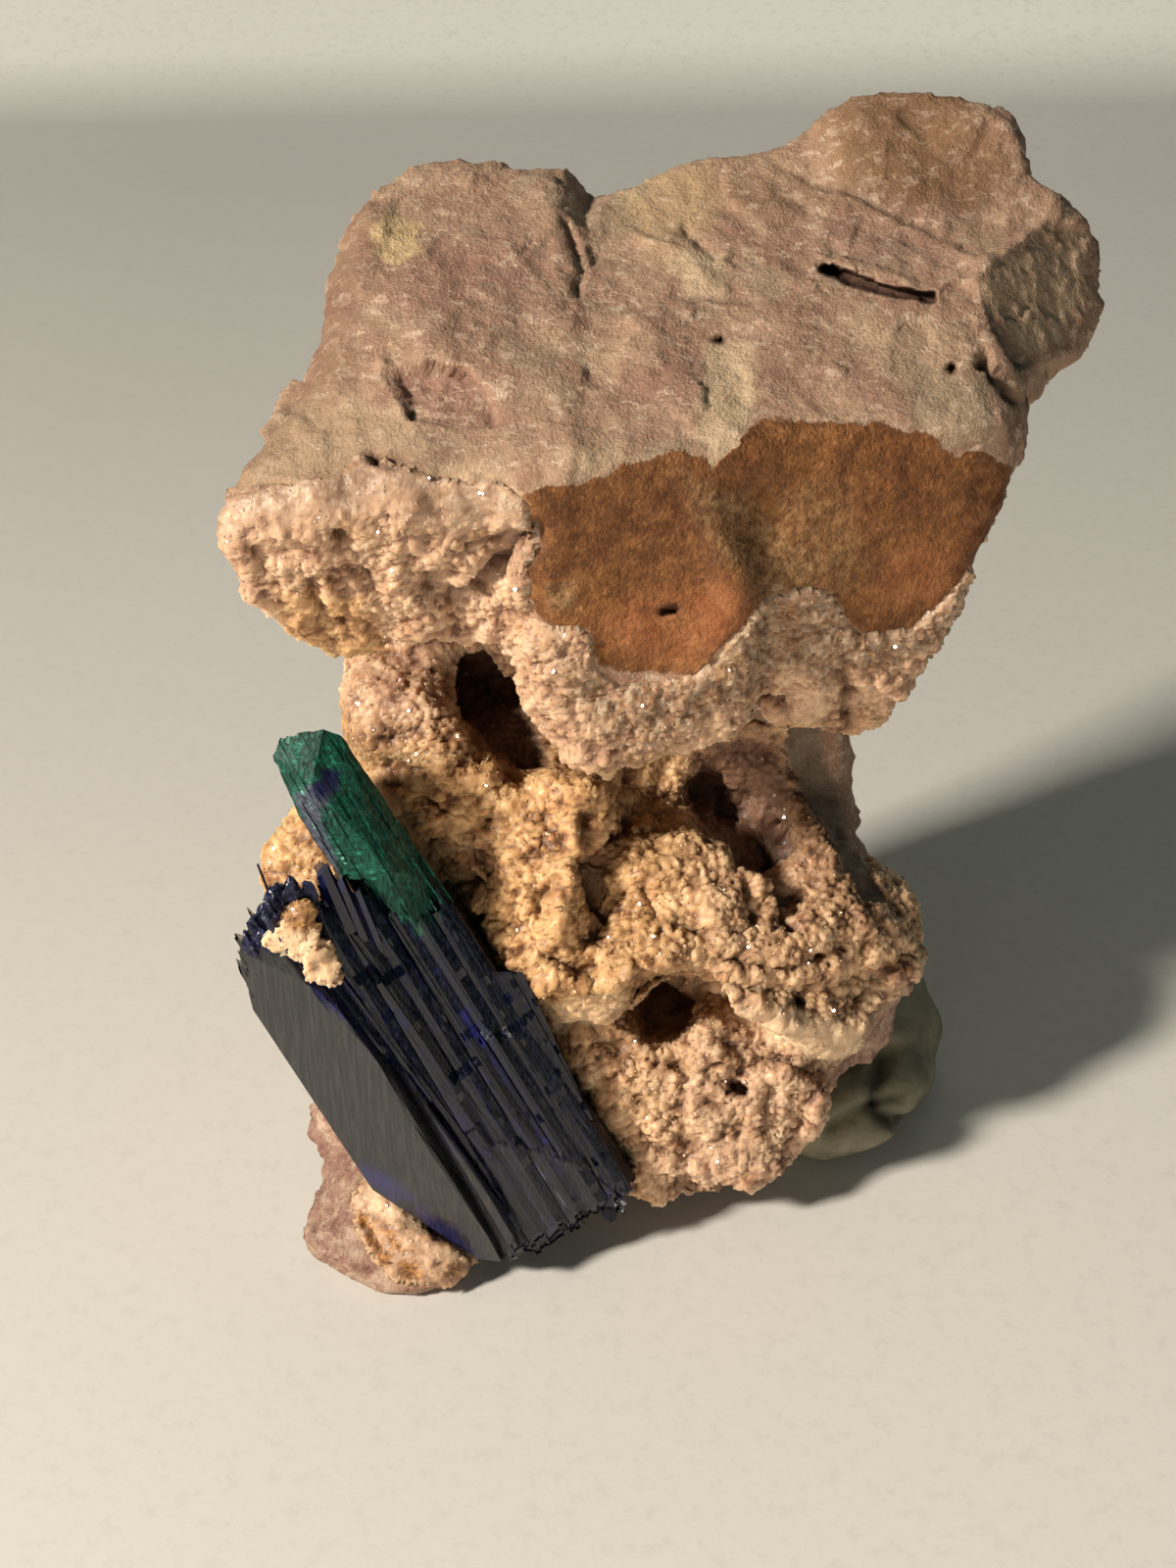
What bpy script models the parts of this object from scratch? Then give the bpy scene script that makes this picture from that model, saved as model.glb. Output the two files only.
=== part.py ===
"""Azurite and malachite on a vuggy host rock, propped upright by a wad of mounting putty.

Lengths below are in millimetres until MM scales them to Blender's metres. +Z is up, -Y is the display
side. The rock is roughed out as a sculptor would: convex blocks for the cap, the neck, the lower mass
and the foot are fused, the skin is roughened, the vugs are hollowed out and the whole is thinned to
facets. The crystal is a sheaf of parallel blades fused into one solid.
Corners on the display side are laid out on a sighting sheet: columns run right and rows run down, both
counted from the sheet's top left corner, and the third number is the corner's depth Y.
"""

import math

import bmesh
import bpy
from mathutils import Matrix, Vector, noise

MM = 0.001

# ---- sighting sheet -------------------------------------------------------------------------------
SHEET_W, SHEET_H = 1200.0, 1600.0  # columns and rows
SIGHT_PITCH = math.radians(33.0)  # the eye looks down on the specimen
SIGHT_FIELD = math.radians(36.0)  # field over the sheet's height
SIGHT_RANGE = 123.0  # from the eye to the target
TARGET = Vector((0.0, 12.0, 25.0))

# ---- driving dimensions ---------------------------------------------------------------------------
ORIGIN = Vector((4.38, 16.13, 0.0))  # middle of the finished piece's footprint, before it is centred
FUSE_CELL = 0.62  # cell that fuses the rock blocks
SKIN = 0.3  # what the fusing wore off the blocks' corners, put back
ROCK_ROUGHNESS = 0.65  # relief of the fracture faces
ROCK_TRIANGLES = 5200
GAP = 0.35  # clearance between neighbouring pieces
CRYSTAL_STEP = 0.75  # how far each blade of the crystal stands proud of the next
PUTTY_CELL = 0.55
PUTTY_TRIANGLES = 1100

_ahead = Vector((0.0, math.cos(SIGHT_PITCH), -math.sin(SIGHT_PITCH)))
_right = Vector((1.0, 0.0, 0.0))
_up = Vector((0.0, math.sin(SIGHT_PITCH), math.cos(SIGHT_PITCH)))
_eye = TARGET - SIGHT_RANGE * _ahead
_focal = SHEET_H / 2 / math.tan(SIGHT_FIELD / 2)


def S(column, row, depth):
    """The point seen at this column and row of the sheet, at depth Y."""
    ray = _ahead * _focal + _right * (column - SHEET_W / 2) + _up * (SHEET_H / 2 - row)
    return _eye + ray * ((depth - _eye.y) / ray.y)


def V(x, y, z):
    return Vector((x, y, z))


# ---- helpers --------------------------------------------------------------------------------------
for o in list(bpy.data.objects):
    bpy.data.objects.remove(o)

SPECIMEN = bpy.data.collections.new("azurite_specimen")
TOOLS = bpy.data.collections.new("cutters")
bpy.context.scene.collection.children.link(SPECIMEN)
bpy.context.scene.collection.children.link(TOOLS)


def material(name, colour, roughness, metallic=0.0):
    m = bpy.data.materials.new(name)
    m.use_nodes = True
    b = m.node_tree.nodes["Principled BSDF"]
    b.inputs["Base Color"].default_value = (*colour, 1.0)
    b.inputs["Roughness"].default_value = roughness
    b.inputs["Metallic"].default_value = metallic
    m.diffuse_color = (*colour, 1.0)
    return m


def put(name, bm, collection=SPECIMEN):
    """A bmesh in millimetres becomes an object in metres, centred on the origin."""
    bmesh.ops.recalc_face_normals(bm, faces=bm.faces)
    bm.transform(Matrix.Scale(MM, 4) @ Matrix.Translation(-ORIGIN))
    me = bpy.data.meshes.new(name)
    bm.to_mesh(me)
    bm.free()
    ob = bpy.data.objects.new(name, me)
    collection.objects.link(ob)
    if collection is TOOLS:
        ob.hide_render = True
        ob.display_type = "WIRE"
    return ob


def add_hull(bm, points, grow=0.0):
    """Adds the convex block around these points, grown by this much on every side."""
    if grow:
        points = [p + Vector((i, j, k)) * grow for p in points for i in (-1, 1) for j in (-1, 1) for k in (-1, 1)]
    verts = [bm.verts.new(p) for p in points]
    out = bmesh.ops.convex_hull(bm, input=verts, use_existing_faces=False)
    spare = {g for k in ("geom_interior", "geom_unused") for g in out[k] if isinstance(g, bmesh.types.BMVert)}
    bmesh.ops.delete(bm, geom=[v for v in spare if v.is_valid and not v.link_faces], context="VERTS")


def turned(turn):
    x, y, z = (math.radians(a) for a in turn)
    return Matrix.Rotation(z, 4, "Z") @ Matrix.Rotation(y, 4, "Y") @ Matrix.Rotation(x, 4, "X")


def add_lump(bm, centre, radii, turn=(0, 0, 0), lumps=0.0, seed=0.0, level=3):
    """Adds an ellipsoid whose radii swell and shrink by the share lumps."""
    made = bmesh.ops.create_icosphere(bm, subdivisions=level, radius=1.0)["verts"]
    rot = turned(turn)
    for v in made:
        k = 1.0 + lumps * noise.noise(v.co * 1.7 + Vector((seed, seed * 2.0, 0.5)))
        v.co = centre + rot @ Vector((v.co.x * radii[0] * k, v.co.y * radii[1] * k, v.co.z * radii[2] * k))


def lump(name, *args, **kw):
    bm = bmesh.new()
    add_lump(bm, *args, **kw)
    return put(name, bm, TOOLS)


def boolean(ob, other, operation="DIFFERENCE"):
    m = ob.modifiers.new(operation.lower() + "_" + other.name, "BOOLEAN")
    m.operation = operation
    m.solver = "EXACT"
    m.object = other


def fuse(ob, cell):
    m = ob.modifiers.new("fuse", "REMESH")
    m.mode = "VOXEL"
    m.voxel_size = cell * MM
    m.use_smooth_shade = False


def thin(ob, triangles):
    """Thins a mesh to about this many triangles."""
    ob.data.calc_loop_triangles()
    m = ob.modifiers.new("thin", "DECIMATE")
    m.ratio = min(1.0, triangles / len(ob.data.loop_triangles))


def bake(ob):
    """Replaces an object's mesh with what its modifiers make of it."""
    bpy.context.view_layer.update()
    me = bpy.data.meshes.new_from_object(ob.evaluated_get(bpy.context.evaluated_depsgraph_get()))
    ob.modifiers.clear()
    old = ob.data
    ob.data = me
    bpy.data.meshes.remove(old)
    return ob


def tidy(ob, weld=0.004):
    """Welds slivers, drops crumbs and keeps the largest shell, so that the solid is one closed body."""
    bm = bmesh.new()
    bm.from_mesh(ob.data)
    bmesh.ops.remove_doubles(bm, verts=bm.verts, dist=weld * MM)
    bmesh.ops.dissolve_degenerate(bm, dist=weld * MM, edges=bm.edges)
    bmesh.ops.triangulate(bm, faces=bm.faces)
    todo, shells = set(bm.faces), []
    while todo:
        stack, shell = [todo.pop()], []
        while stack:
            f = stack.pop()
            shell.append(f)
            for e in f.edges:
                for g in e.link_faces:
                    if g in todo:
                        todo.discard(g)
                        stack.append(g)
        shells.append(shell)
    shells.sort(key=len, reverse=True)
    crumbs = [f for s in shells[1:] for f in s]
    if crumbs:
        bmesh.ops.delete(bm, geom=crumbs, context="FACES")
    bmesh.ops.recalc_face_normals(bm, faces=bm.faces)
    bm.to_mesh(ob.data)
    bm.free()
    return ob


# ---- host rock ------------------------------------------------------------------------------------
rock = bmesh.new()

# Cap, left half: a broad fracture face that falls towards the display side.
add_hull(rock, [
    S(355, 198, 22), S(342, 245, 20), S(329, 305, 17.5), S(304, 412, 12.5), S(345, 455, 9.5),
    S(470, 482, 7.9), S(545, 502, 7.4), S(600, 475, 8.0), S(398, 180, 24), S(440, 166, 25.5),
    S(500, 174, 26), S(555, 161, 27), S(585, 153, 27.5), S(592, 240, 22),
    S(440, 645, 12.5), S(540, 640, 10), S(350, 630, 12.5), V(-9, 26, 39), V(0, 27.5, 37),
])
# Cap, lobe at the left tip.
add_hull(rock, [
    S(302, 412, 12.5), S(256, 468, 9.6), S(222, 531, 7.0), S(234, 564, 7.4), S(245, 604, 8.4),
    S(266, 620, 9.0), S(300, 636, 9.4), S(328, 662, 11), S(378, 664, 12), S(470, 482, 7.8),
    S(345, 455, 9.0), V(-13, 19, 42), V(-12, 17, 37), S(480, 600, 9.5),
])
# Cap, main block.
add_hull(rock, [
    S(600, 200, 25), S(640, 182, 27), S(700, 164, 28), S(780, 151, 29.5), S(830, 135, 30),
    S(1070, 202, 27), S(1035, 452, 14), S(1036, 480, 14.2), S(1000, 430, 12.5), S(900, 432, 11.8),
    S(765, 434, 11), S(600, 475, 8), S(680, 465, 8.8), S(1000, 540, 14), S(560, 600, 9.5),
    V(0, 27.5, 36), V(16, 30, 36), V(21, 25, 38),
])
# Cap, the raised far corner.
add_hull(rock, [
    S(796, 142, 29.5), S(866, 96, 31), S(900, 84, 31.5), S(956, 76, 31.5), S(994, 98, 31), S(1018, 138, 30),
    S(1078, 190, 27.5), S(1000, 300, 21), S(860, 230, 24), V(8, 31, 44), V(19, 29, 42),
])
# Cap, the spur at the right.
add_hull(rock, [
    S(1078, 193, 28.0), S(1120, 232, 28.0), S(1132, 256, 27.5), S(1127, 283, 27.0), S(1110, 324, 26.0),
    S(1092, 352, 24.8), S(1094, 370, 24.0), S(1058, 394, 21), S(1032, 408, 17.5), S(1000, 360, 17.0),
    S(1000, 262, 21.5), S(1060, 240, 24.5), V(21, 28, 42), V(14, 25, 40), V(20, 23, 40),
])
# Cap, left of the keel under the stained face.
add_hull(rock, [
    S(545, 502, 7.5), S(600, 477, 8), S(680, 467, 8.6), S(722, 486, 9.6), S(545, 620, 8.7),
    S(530, 655, 9.8), S(548, 735, 10), S(560, 762, 10), S(592, 785, 9.8), S(628, 790, 9.8), S(700, 766, 10.2),
    S(760, 742, 11), S(774, 600, 8.9), V(6, 24, 33), V(-4, 22, 36),
])
# Cap, right of the keel.
add_hull(rock, [
    S(770, 488, 11.6), S(770, 434, 11.2), S(900, 434, 11.6), S(1000, 432, 12.5), S(1035, 455, 14),
    S(1036, 482, 14.2), S(1012, 518, 13.8), S(985, 570, 13.2), S(964, 640, 13.6), S(945, 680, 14.2),
    S(915, 708, 14.8), S(885, 738, 15.2), S(838, 734, 15.6), S(790, 735, 13.4), S(800, 610, 10.4),
    S(900, 520, 11.2), V(8, 26, 34), V(16, 28, 36),
])
# Drip at the cap's right lower rim.
add_hull(rock, [
    S(845, 728, 14.6), S(848, 745, 14.8), S(860, 755, 15), S(878, 752, 15.2), S(892, 728, 15.4),
    S(880, 700, 14.2), S(845, 705, 14.0), V(15, 19, 31),
])
# Back wall that carries the cap.
add_hull(rock, [
    S(366, 668, 16.5), S(362, 745, 15.5), V(-11, 22, 36), V(-7.5, 26.5, 38), V(3, 30.5, 37), V(11.5, 28.5, 38), V(12.6, 24, 33),
    S(835, 735, 21.5), S(846, 782, 21), S(859, 832, 20.2), S(880, 892, 18.6), V(12.5, 27.5, 21), V(15.2, 23.5, 12),
    V(11.5, 24.0, 6.6), V(3.5, 26.0, 7.2), V(-5.5, 23.0, 6.8), V(-11.5, 19.5, 10), V(-13, 20, 13), V(-12.6, 20.5, 22),
    V(2, 20, 30), V(2, 30.0, 25), V(-6.5, 26.5, 21),
])
# Lower mass: shoulder at the left of the neck.
add_hull(rock, [
    S(366, 700, 14.8), S(362, 748, 13.8), S(400, 706, 13.8), S(450, 722, 13.8), S(488, 760, 13.4),
    S(488, 800, 12.2), S(440, 862, 10.6), S(400, 845, 10.8), V(-12, 22, 26), V(-4, 24, 25), V(-12, 20, 19),
])
# Lower mass: left slope.
add_hull(rock, [
    S(480, 800, 12.6), S(560, 797, 12.8), S(612, 800, 12.2), S(600, 862, 10.6), S(592, 950, 8.6),
    S(545, 1000, 7.2), S(482, 988, 7.4), S(440, 885, 10.2), S(432, 855, 10.8), V(-6, 20, 21), V(2, 20, 21),
    V(-6, 18, 12), V(1, 18, 12),
])
# Lower mass: middle.
add_hull(rock, [
    S(650, 842, 14), S(720, 884, 13), S(782, 872, 13.6), S(800, 940, 11.6), S(762, 990, 9),
    S(700, 966, 8.6), S(622, 960, 9.2), S(630, 882, 12), V(2, 22, 19), V(10, 23, 19), V(2, 18, 10), V(9, 18, 10),
])
# Lower mass: right flank.
add_hull(rock, [
    S(859, 832, 19.6), S(880, 890, 17.4), S(896, 925, 15.8), S(822, 832, 16.4), S(812, 930, 13.6),
    S(872, 950, 12.6), V(13, 26, 20), V(7, 25, 20), V(8, 20, 10), V(15, 22, 12),
])
# Lower mass: the ledge that runs out to the right.
add_hull(rock, [
    S(735, 988, 8.6), S(800, 958, 10.2), S(880, 930, 13), S(908, 926, 14.6), S(937, 952, 14.8),
    S(940, 977, 14.8), S(921, 1010, 14.4), S(880, 1046, 11.2), S(852, 1074, 9.8), S(795, 1056, 7.8),
    S(750, 1012, 7.6), V(16, 24, 13), V(8, 24, 15), V(16, 21, 9),
])
# Lower mass: the lip left of the round vug.
add_hull(rock, [
    S(482, 990, 7.2), S(540, 1000, 6.6), S(592, 1044, 6.7), S(640, 1012, 7.2), S(690, 972, 8.2), S(560, 950, 9),
    V(-3, 18, 16), V(5, 18, 16), V(-3, 16, 9), V(4, 16, 9), S(560, 1040, 7.4),
])
# Lower mass: front below the lip.
add_hull(rock, [
    S(556, 1062, 8.2), S(640, 1080, 8.2), S(720, 1052, 8.4), S(780, 1072, 8.8), S(836, 1094, 9.4),
    S(840, 1146, 9.4), S(797, 1160, 8), S(790, 1200, 6.8), S(742, 1222, 6.2), S(672, 1230, 5.8), S(642, 1214, 5.8),
    S(602, 1150, 6.6), S(556, 1085, 7.4), V(9, 20, 3.5), V(-2, 18, 3.5), V(9, 22, 10), V(0, 20, 12),
])
# Lower mass: right underside.
add_hull(rock, [
    S(921, 1010, 14.6), S(916, 1040, 15), S(906, 1074, 15), S(880, 1110, 14.6), S(852, 1130, 13.4),
    S(846, 1150, 12.6), S(800, 1062, 9.4), V(15, 24, 8.5), V(6, 22, 5.5), V(15, 22, 12),
])
# Rock behind the big crystal, with the ledge at its far left.
add_hull(rock, [
    S(266, 880, 9.6), S(290, 857, 10.4), S(330, 850, 11), V(-15.5, 9, 20), V(-14.6, 8.6, 12),
    V(-9, 7.6, 16), V(-5, 8.6, 8), V(0, 8.6, 5), V(-12, 20, 8), V(-12, 21, 22), V(2, 20, 6), V(-4, 9, 1.8),
    S(420, 850, 12), S(480, 985, 8.2), V(-9, 10, 3), V(-8, 19, 2.4), V(1, 9.5, 2.2), V(1, 19, 2.2),
])
# The spur low at the left.
add_hull(rock, [
    S(318, 1118, 7.6), S(314, 1165, 8.2), S(335, 1186, 8), S(356, 1190, 7.4), V(-8, 7.6, 12), V(-6, 9, 6),
    V(-11, 14, 4), V(-11, 16, 12),
])
# The foot that the specimen stands on.
add_hull(rock, [
    S(303, 1271, 3.2), S(330, 1225, 4.6), S(356, 1200, 5.2), S(384, 1210, 3.8), S(446, 1242, 2.2),
    S(484, 1278, 1.6), S(486, 1298, 1.8), S(450, 1311, 1.0), V(-8.3, 0.5, 0.0), V(-10.6, 0.1, 0.0), V(-13.2, 2.4, 0.0),
    V(-14.6, 4.6, 0.6), V(-12.6, 9.5, 0.0), V(-7.4, 9.5, 0.0), V(-6.4, 2.2, 0.9), V(-12, 12, 6), V(-5, 12, 6), V(-6, 8.4, 9),
])

matrix = put("matrix", rock)
fuse(matrix, FUSE_CELL)
bake(matrix)


def rough(co, normal):
    """How far the skin stands off the fused blocks: chipped faces, with knobs on the display side below the cap."""
    p = co / MM + ORIGIN
    chips = noise.voronoi(p * 0.22 + Vector((3.1, 0.4, 7.7)))[0]
    relief = 0.9 * (chips[1] - chips[0]) - 0.35 + 0.55 * noise.fractal(p * 0.19, 1.0, 2.0, 3)
    knobs = 0.5 - noise.voronoi(p * 0.55 + Vector((9.0, 2.0, 4.0)))[0][0]
    crusted = max(0.0, min(1.0, (36.0 - p.z) / 4.0)) * max(0.0, min(1.0, (17.0 - p.y) / 3.0)) * max(0.0, min(1.0, (p.z - 3.0) / 2.0))
    on_floor = max(0.0, min(1.0, p.z / 1.6))
    relief *= 1.0 + 0.7 * max(0.0, min(1.0, (p.y - 19.0) / 4.0))  # the broken back is rougher
    return (SKIN + ROCK_ROUGHNESS * relief * (1.0 - 0.6 * crusted) + 0.9 * knobs * crusted) * on_floor


me = matrix.data
shifted = [v.co + v.normal * rough(v.co, v.normal) * MM for v in me.vertices]
for v, c in zip(me.vertices, shifted):
    v.co = c
fuse(matrix, FUSE_CELL)
bake(matrix)

# Vugs. The long dark one is under the cap, at the left of the keel.
for c in (
    lump("vug_cave", S(500, 727, 15.5), (1.9, 5.0, 4.3), (16, -34, 6), 0.3, 1.0),
    lump("vug_cave_back", S(486, 700, 20.0), (3.0, 3.4, 2.4), (0, -20, 0), 0.3, 2.0),
    lump("vug_cave_foot", S(535, 775, 13.6), (1.5, 2.6, 1.6), (0, -20, 0), 0.2, 2.5),
    lump("vug_round", S(678, 1026, 9.6), (2.0, 3.6, 2.1), (10, 0, 0), 0.3, 3.0),
    lump("vug_upper_right", S(765, 815, 16.0), (3.2, 3.6, 3.2), (0, 0, 0), 0.35, 4.0),
    lump("vug_upper_middle", S(690, 800, 15.5), (3.6, 3.4, 2.6), (0, 0, 0), 0.3, 5.0),
    lump("vug_valley", S(608, 905, 9.6), (0.9, 2.0, 2.6), (0, 12, 0), 0.2, 6.0),
    lump("vug_beside_crystal", S(455, 900, 9.4), (1.5, 2.0, 1.4), (0, 0, 0), 0.3, 7.0),
    lump("vug_low", S(748, 1110, 7.4), (0.9, 1.4, 0.8), (0, 0, 0), 0.2, 8.0),
):
    boolean(matrix, c)
fuse(matrix, FUSE_CELL)
bake(matrix)
thin(matrix, ROCK_TRIANGLES)
bake(matrix)

# ---- the crystal ----------------------------------------------------------------------------------


def blade(start, end, half, depth0, depth1, crest, back):
    """Corners of one blade: it runs from start to end on the sheet, with its crest this far proud of its edges."""
    (c0, r0), (c1, r1) = start, end
    run = math.hypot(c1 - c0, r1 - r0)
    ac, ar = -(r1 - r0) / run * half, (c1 - c0) / run * half  # across the blade, to its left
    pts = []
    for c, r, d in ((c0, r0, depth0), (c1, r1, depth1)):
        pts += [S(c + ac, r + ar, d), S(c - ac, r - ar, d), S(c + ac * 0.25, r + ar * 0.25, d - crest),
                S(c - ac * 0.3, r - ar * 0.3, d - crest)]
        pts += [S(c + ac, r + ar, d) + Vector((0.1, back, -0.2 * back)), S(c - ac, r - ar, d) + Vector((-0.1, back, -0.2 * back))]
    return pts


FIRST, LAST = ((322, 934), (528, 1268)), ((440, 922), (632, 1228))
blades = [
    # The broad plate at the left, with its flat face.
    [S(240, 966, 3.4), S(262, 932, 3.9), S(300, 978, 3.1), S(338, 1018, 2.4), S(386, 1085, 1.9), S(440, 1178, 1.5),
     S(498, 1262, 1.4), S(512, 1288, 1.6), S(488, 1285, 1.8), S(459, 1262, 2.0), S(430, 1240, 2.2), S(380, 1214, 2.6),
     S(330, 1133, 2.9), S(288, 1070, 3.2), S(258, 1030, 3.4),
     S(250, 966, 6.4), S(330, 930, 7.2), S(300, 1060, 6.0), S(400, 1190, 5.2), V(-5.6, 4.2, 1.9), V(-4.0, 4.4, 2.2)],
    # Splinters at the plate's top end.
    [S(262, 930, 4.2), S(270, 902, 5.0), S(281, 906, 4.6), S(290, 960, 4.0), S(300, 940, 5.8), S(268, 940, 6.2)],
    [S(284, 925, 4.4), S(288, 896, 5.4), S(300, 902, 5.0), S(312, 950, 4.2), S(325, 935, 6.0), S(286, 940, 6.4)],
    # The core that ties the blades together, and the plate at its right, next to the rock.
    [S(345, 960, 6.4), S(440, 930, 7.8), S(480, 985, 7.2), S(620, 1225, 4.4), S(536, 1278, 2.9), S(420, 1120, 3.8),
     S(345, 960, 8.2), S(440, 940, 8.8), S(600, 1215, 6.2), V(-3.4, 5.2, 2.0)],
    [S(438, 893, 7.6), S(470, 955, 6.8), S(482, 990, 6.2), S(545, 1090, 5.0), S(600, 1150, 4.6), S(640, 1230, 3.9),
     S(618, 1246, 3.6), S(455, 960, 6.6), S(440, 905, 9.2), S(480, 990, 8.2), S(600, 1160, 6.6), S(636, 1226, 5.6)],
    [S(482, 986, 6.8), S(500, 994, 6.6), S(534, 993, 6.4), S(546, 1040, 6.0), S(560, 1094, 5.6), S(584, 1099, 5.5),
     S(603, 1140, 5.2), S(540, 1120, 5.3), S(490, 1000, 8.2), S(534, 996, 7.6), S(584, 1102, 6.8), S(604, 1145, 6.2)],
]
COUNT = 6
for i in range(COUNT):
    t = i / (COUNT - 1)
    start = tuple(a + (b - a) * t for a, b in zip(FIRST[0], LAST[0]))
    end = tuple(a + (b - a) * t for a, b in zip(FIRST[1], LAST[1]))
    lift = (0, -26, -20, 0, 8, 4)[i]  # the blades' top ends are staggered
    foot = (10, 6, 6, 2, 0, -4)[i]
    blades.append(blade((start[0] + lift * 0.52, start[1] + lift), (end[0], end[1] + foot), 15 + 2 * (i % 2),
                        4.6 + 0.55 * i + 0.25 * (i % 2), 1.9 + 0.42 * i, CRYSTAL_STEP * (1.0 - 0.35 * (i % 2)), 2.4))

crystal = None
for i, pts in enumerate(blades):
    bm = bmesh.new()
    add_hull(bm, pts)
    if crystal is None:
        crystal = put("azurite", bm)
    else:
        boolean(crystal, put("blade_%d" % i, bm, TOOLS), "UNION")
bake(crystal)
tidy(crystal)

# ---- the green tip of the crystal, altered to malachite -------------------------------------------
TIP = [S(279, 771, 7.0), S(288, 753, 7.2), S(330, 744, 7.4), S(348, 751, 7.6), S(389, 810, 7.6), S(440, 892, 7.4),
       S(440, 905, 7.3), S(420, 948, 5.9), S(398, 934, 5.5), S(346, 892, 5.2), S(302, 828, 6.0), S(318, 800, 5.7),
       S(330, 800, 6.0), S(400, 890, 5.5), S(290, 768, 9.8), S(344, 756, 9.8), S(432, 900, 8.9), S(350, 890, 7.8)]
bm = bmesh.new()
add_hull(bm, TIP)
tip = put("malachite_tip", bm)

# ---- crust of druse left on the crystal -----------------------------------------------------------
crust_bm = bmesh.new()
add_hull(crust_bm, [S(262, 955, 3.2), S(275, 935, 3.5), S(300, 916, 3.9), S(326, 924, 3.7), S(329, 962, 2.7), S(318, 990, 2.0),
                    S(290, 978, 2.3), S(280, 950, 2.5), S(310, 936, 2.8), S(270, 955, 5.4), S(322, 930, 5.6), S(318, 985, 4.6)])
add_hull(crust_bm, [S(300, 950, 2.6), S(326, 950, 2.9), S(353, 998, 1.9), S(345, 1016, 1.5), S(312, 999, 1.7), S(325, 975, 1.7),
                    S(306, 960, 4.6), S(330, 960, 4.6), S(350, 1000, 3.4), S(342, 1012, 3.2), S(315, 995, 3.6)])
crust = put("druse_crust", crust_bm)
fuse(crust, 0.28)
bake(crust)
thin(crust, 420)
bake(crust)


def clearance(name, blocks):
    """The blocks grown by the gap, to cut their neighbours with."""
    bm = bmesh.new()
    add_hull(bm, blocks[0], GAP)
    whole = put(name, bm, TOOLS)
    for i, pts in enumerate(blocks[1:]):
        bm = bmesh.new()
        add_hull(bm, pts, GAP)
        boolean(whole, put("%s_%d" % (name, i), bm, TOOLS), "UNION")
    return bake(whole)


crystal_room = clearance("crystal_room", blades)
tip_room = clearance("tip_room", [TIP])
boolean(tip, crystal_room)
bake(tip)
tidy(tip)
boolean(crust, crystal_room)
bake(crust)
tidy(crust)

# ---- mounting putty -------------------------------------------------------------------------------
PUTTY = (
    (V(14.2, 15.6, 2.2), (6.4, 4.9, 2.9), (0, 0, 30)),
    (V(16.4, 20.0, 3.4), (4.4, 4.8, 3.5), (0, 12, 10)),
    (V(6.5, 18.0, 2.8), (8.0, 6.0, 4.0), (0, 0, 0)),
    (V(9.6, 24.0, 3.4), (6.6, 4.4, 4.3), (0, 0, -8)),
    (V(-3.4, 19.8, 2.8), (6.4, 5.4, 3.9), (0, 0, 24)),
    (V(1.8, 22.8, 3.2), (6.0, 4.6, 4.2), (0, 0, -14)),
)


def putty_lumps(name, collection, extra):
    bm = bmesh.new()
    for i, (centre, radii, turn) in enumerate(PUTTY):
        add_lump(bm, centre, tuple(r + extra for r in radii), turn, 0.12, 11.0 + i)
    ob = put(name, bm, collection)
    fuse(ob, PUTTY_CELL)
    return bake(ob)


putty = putty_lumps("mounting_putty", SPECIMEN, 0.0)
bm = bmesh.new()
bmesh.ops.create_cube(bm, size=1.0, matrix=Matrix.Translation((10.0, 20.0, -5.0)) @ Matrix.Diagonal((60.0, 60.0, 10.0, 1.0)))
floor_trim = put("floor_trim", bm, TOOLS)
thin(putty, PUTTY_TRIANGLES)
boolean(putty, floor_trim)
bake(putty)
tidy(putty)
putty_room = putty_lumps("putty_room", TOOLS, GAP + 0.3)
thin(putty_room, PUTTY_TRIANGLES // 2)
bake(putty_room)

for room in (crystal_room, tip_room, putty_room):
    boolean(matrix, room)
boolean(matrix, floor_trim)
bake(matrix)
tidy(matrix)

# ---- materials ------------------------------------------------------------------------------------
for ob, m in (
    (matrix, material("host_rock", (0.42, 0.30, 0.23), 0.85)),
    (crystal, material("azurite_blue", (0.012, 0.016, 0.09), 0.18)),
    (tip, material("malachite_green", (0.01, 0.16, 0.09), 0.45)),
    (crust, material("cream_druse", (0.62, 0.47, 0.30), 0.75)),
    (putty, material("grey_putty", (0.30, 0.31, 0.24), 0.6)),
):
    ob.data.materials.clear()
    ob.data.materials.append(m)
    for p in ob.data.polygons:
        p.use_smooth = False
        p.material_index = 0
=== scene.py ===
"""Looks of the azurite specimen: rock, druse, azurite, malachite and putty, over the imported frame.

The rock's masks and sculpted marks are laid out on a sighting sheet of 1200 columns by 1600 rows, the
camera's own view of the display side. Everything else follows rules in millimetres.
"""
import math
import random

import bmesh
import bpy
import numpy as np
from mathutils import Matrix, Vector, noise
from mathutils.bvhtree import BVHTree


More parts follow.
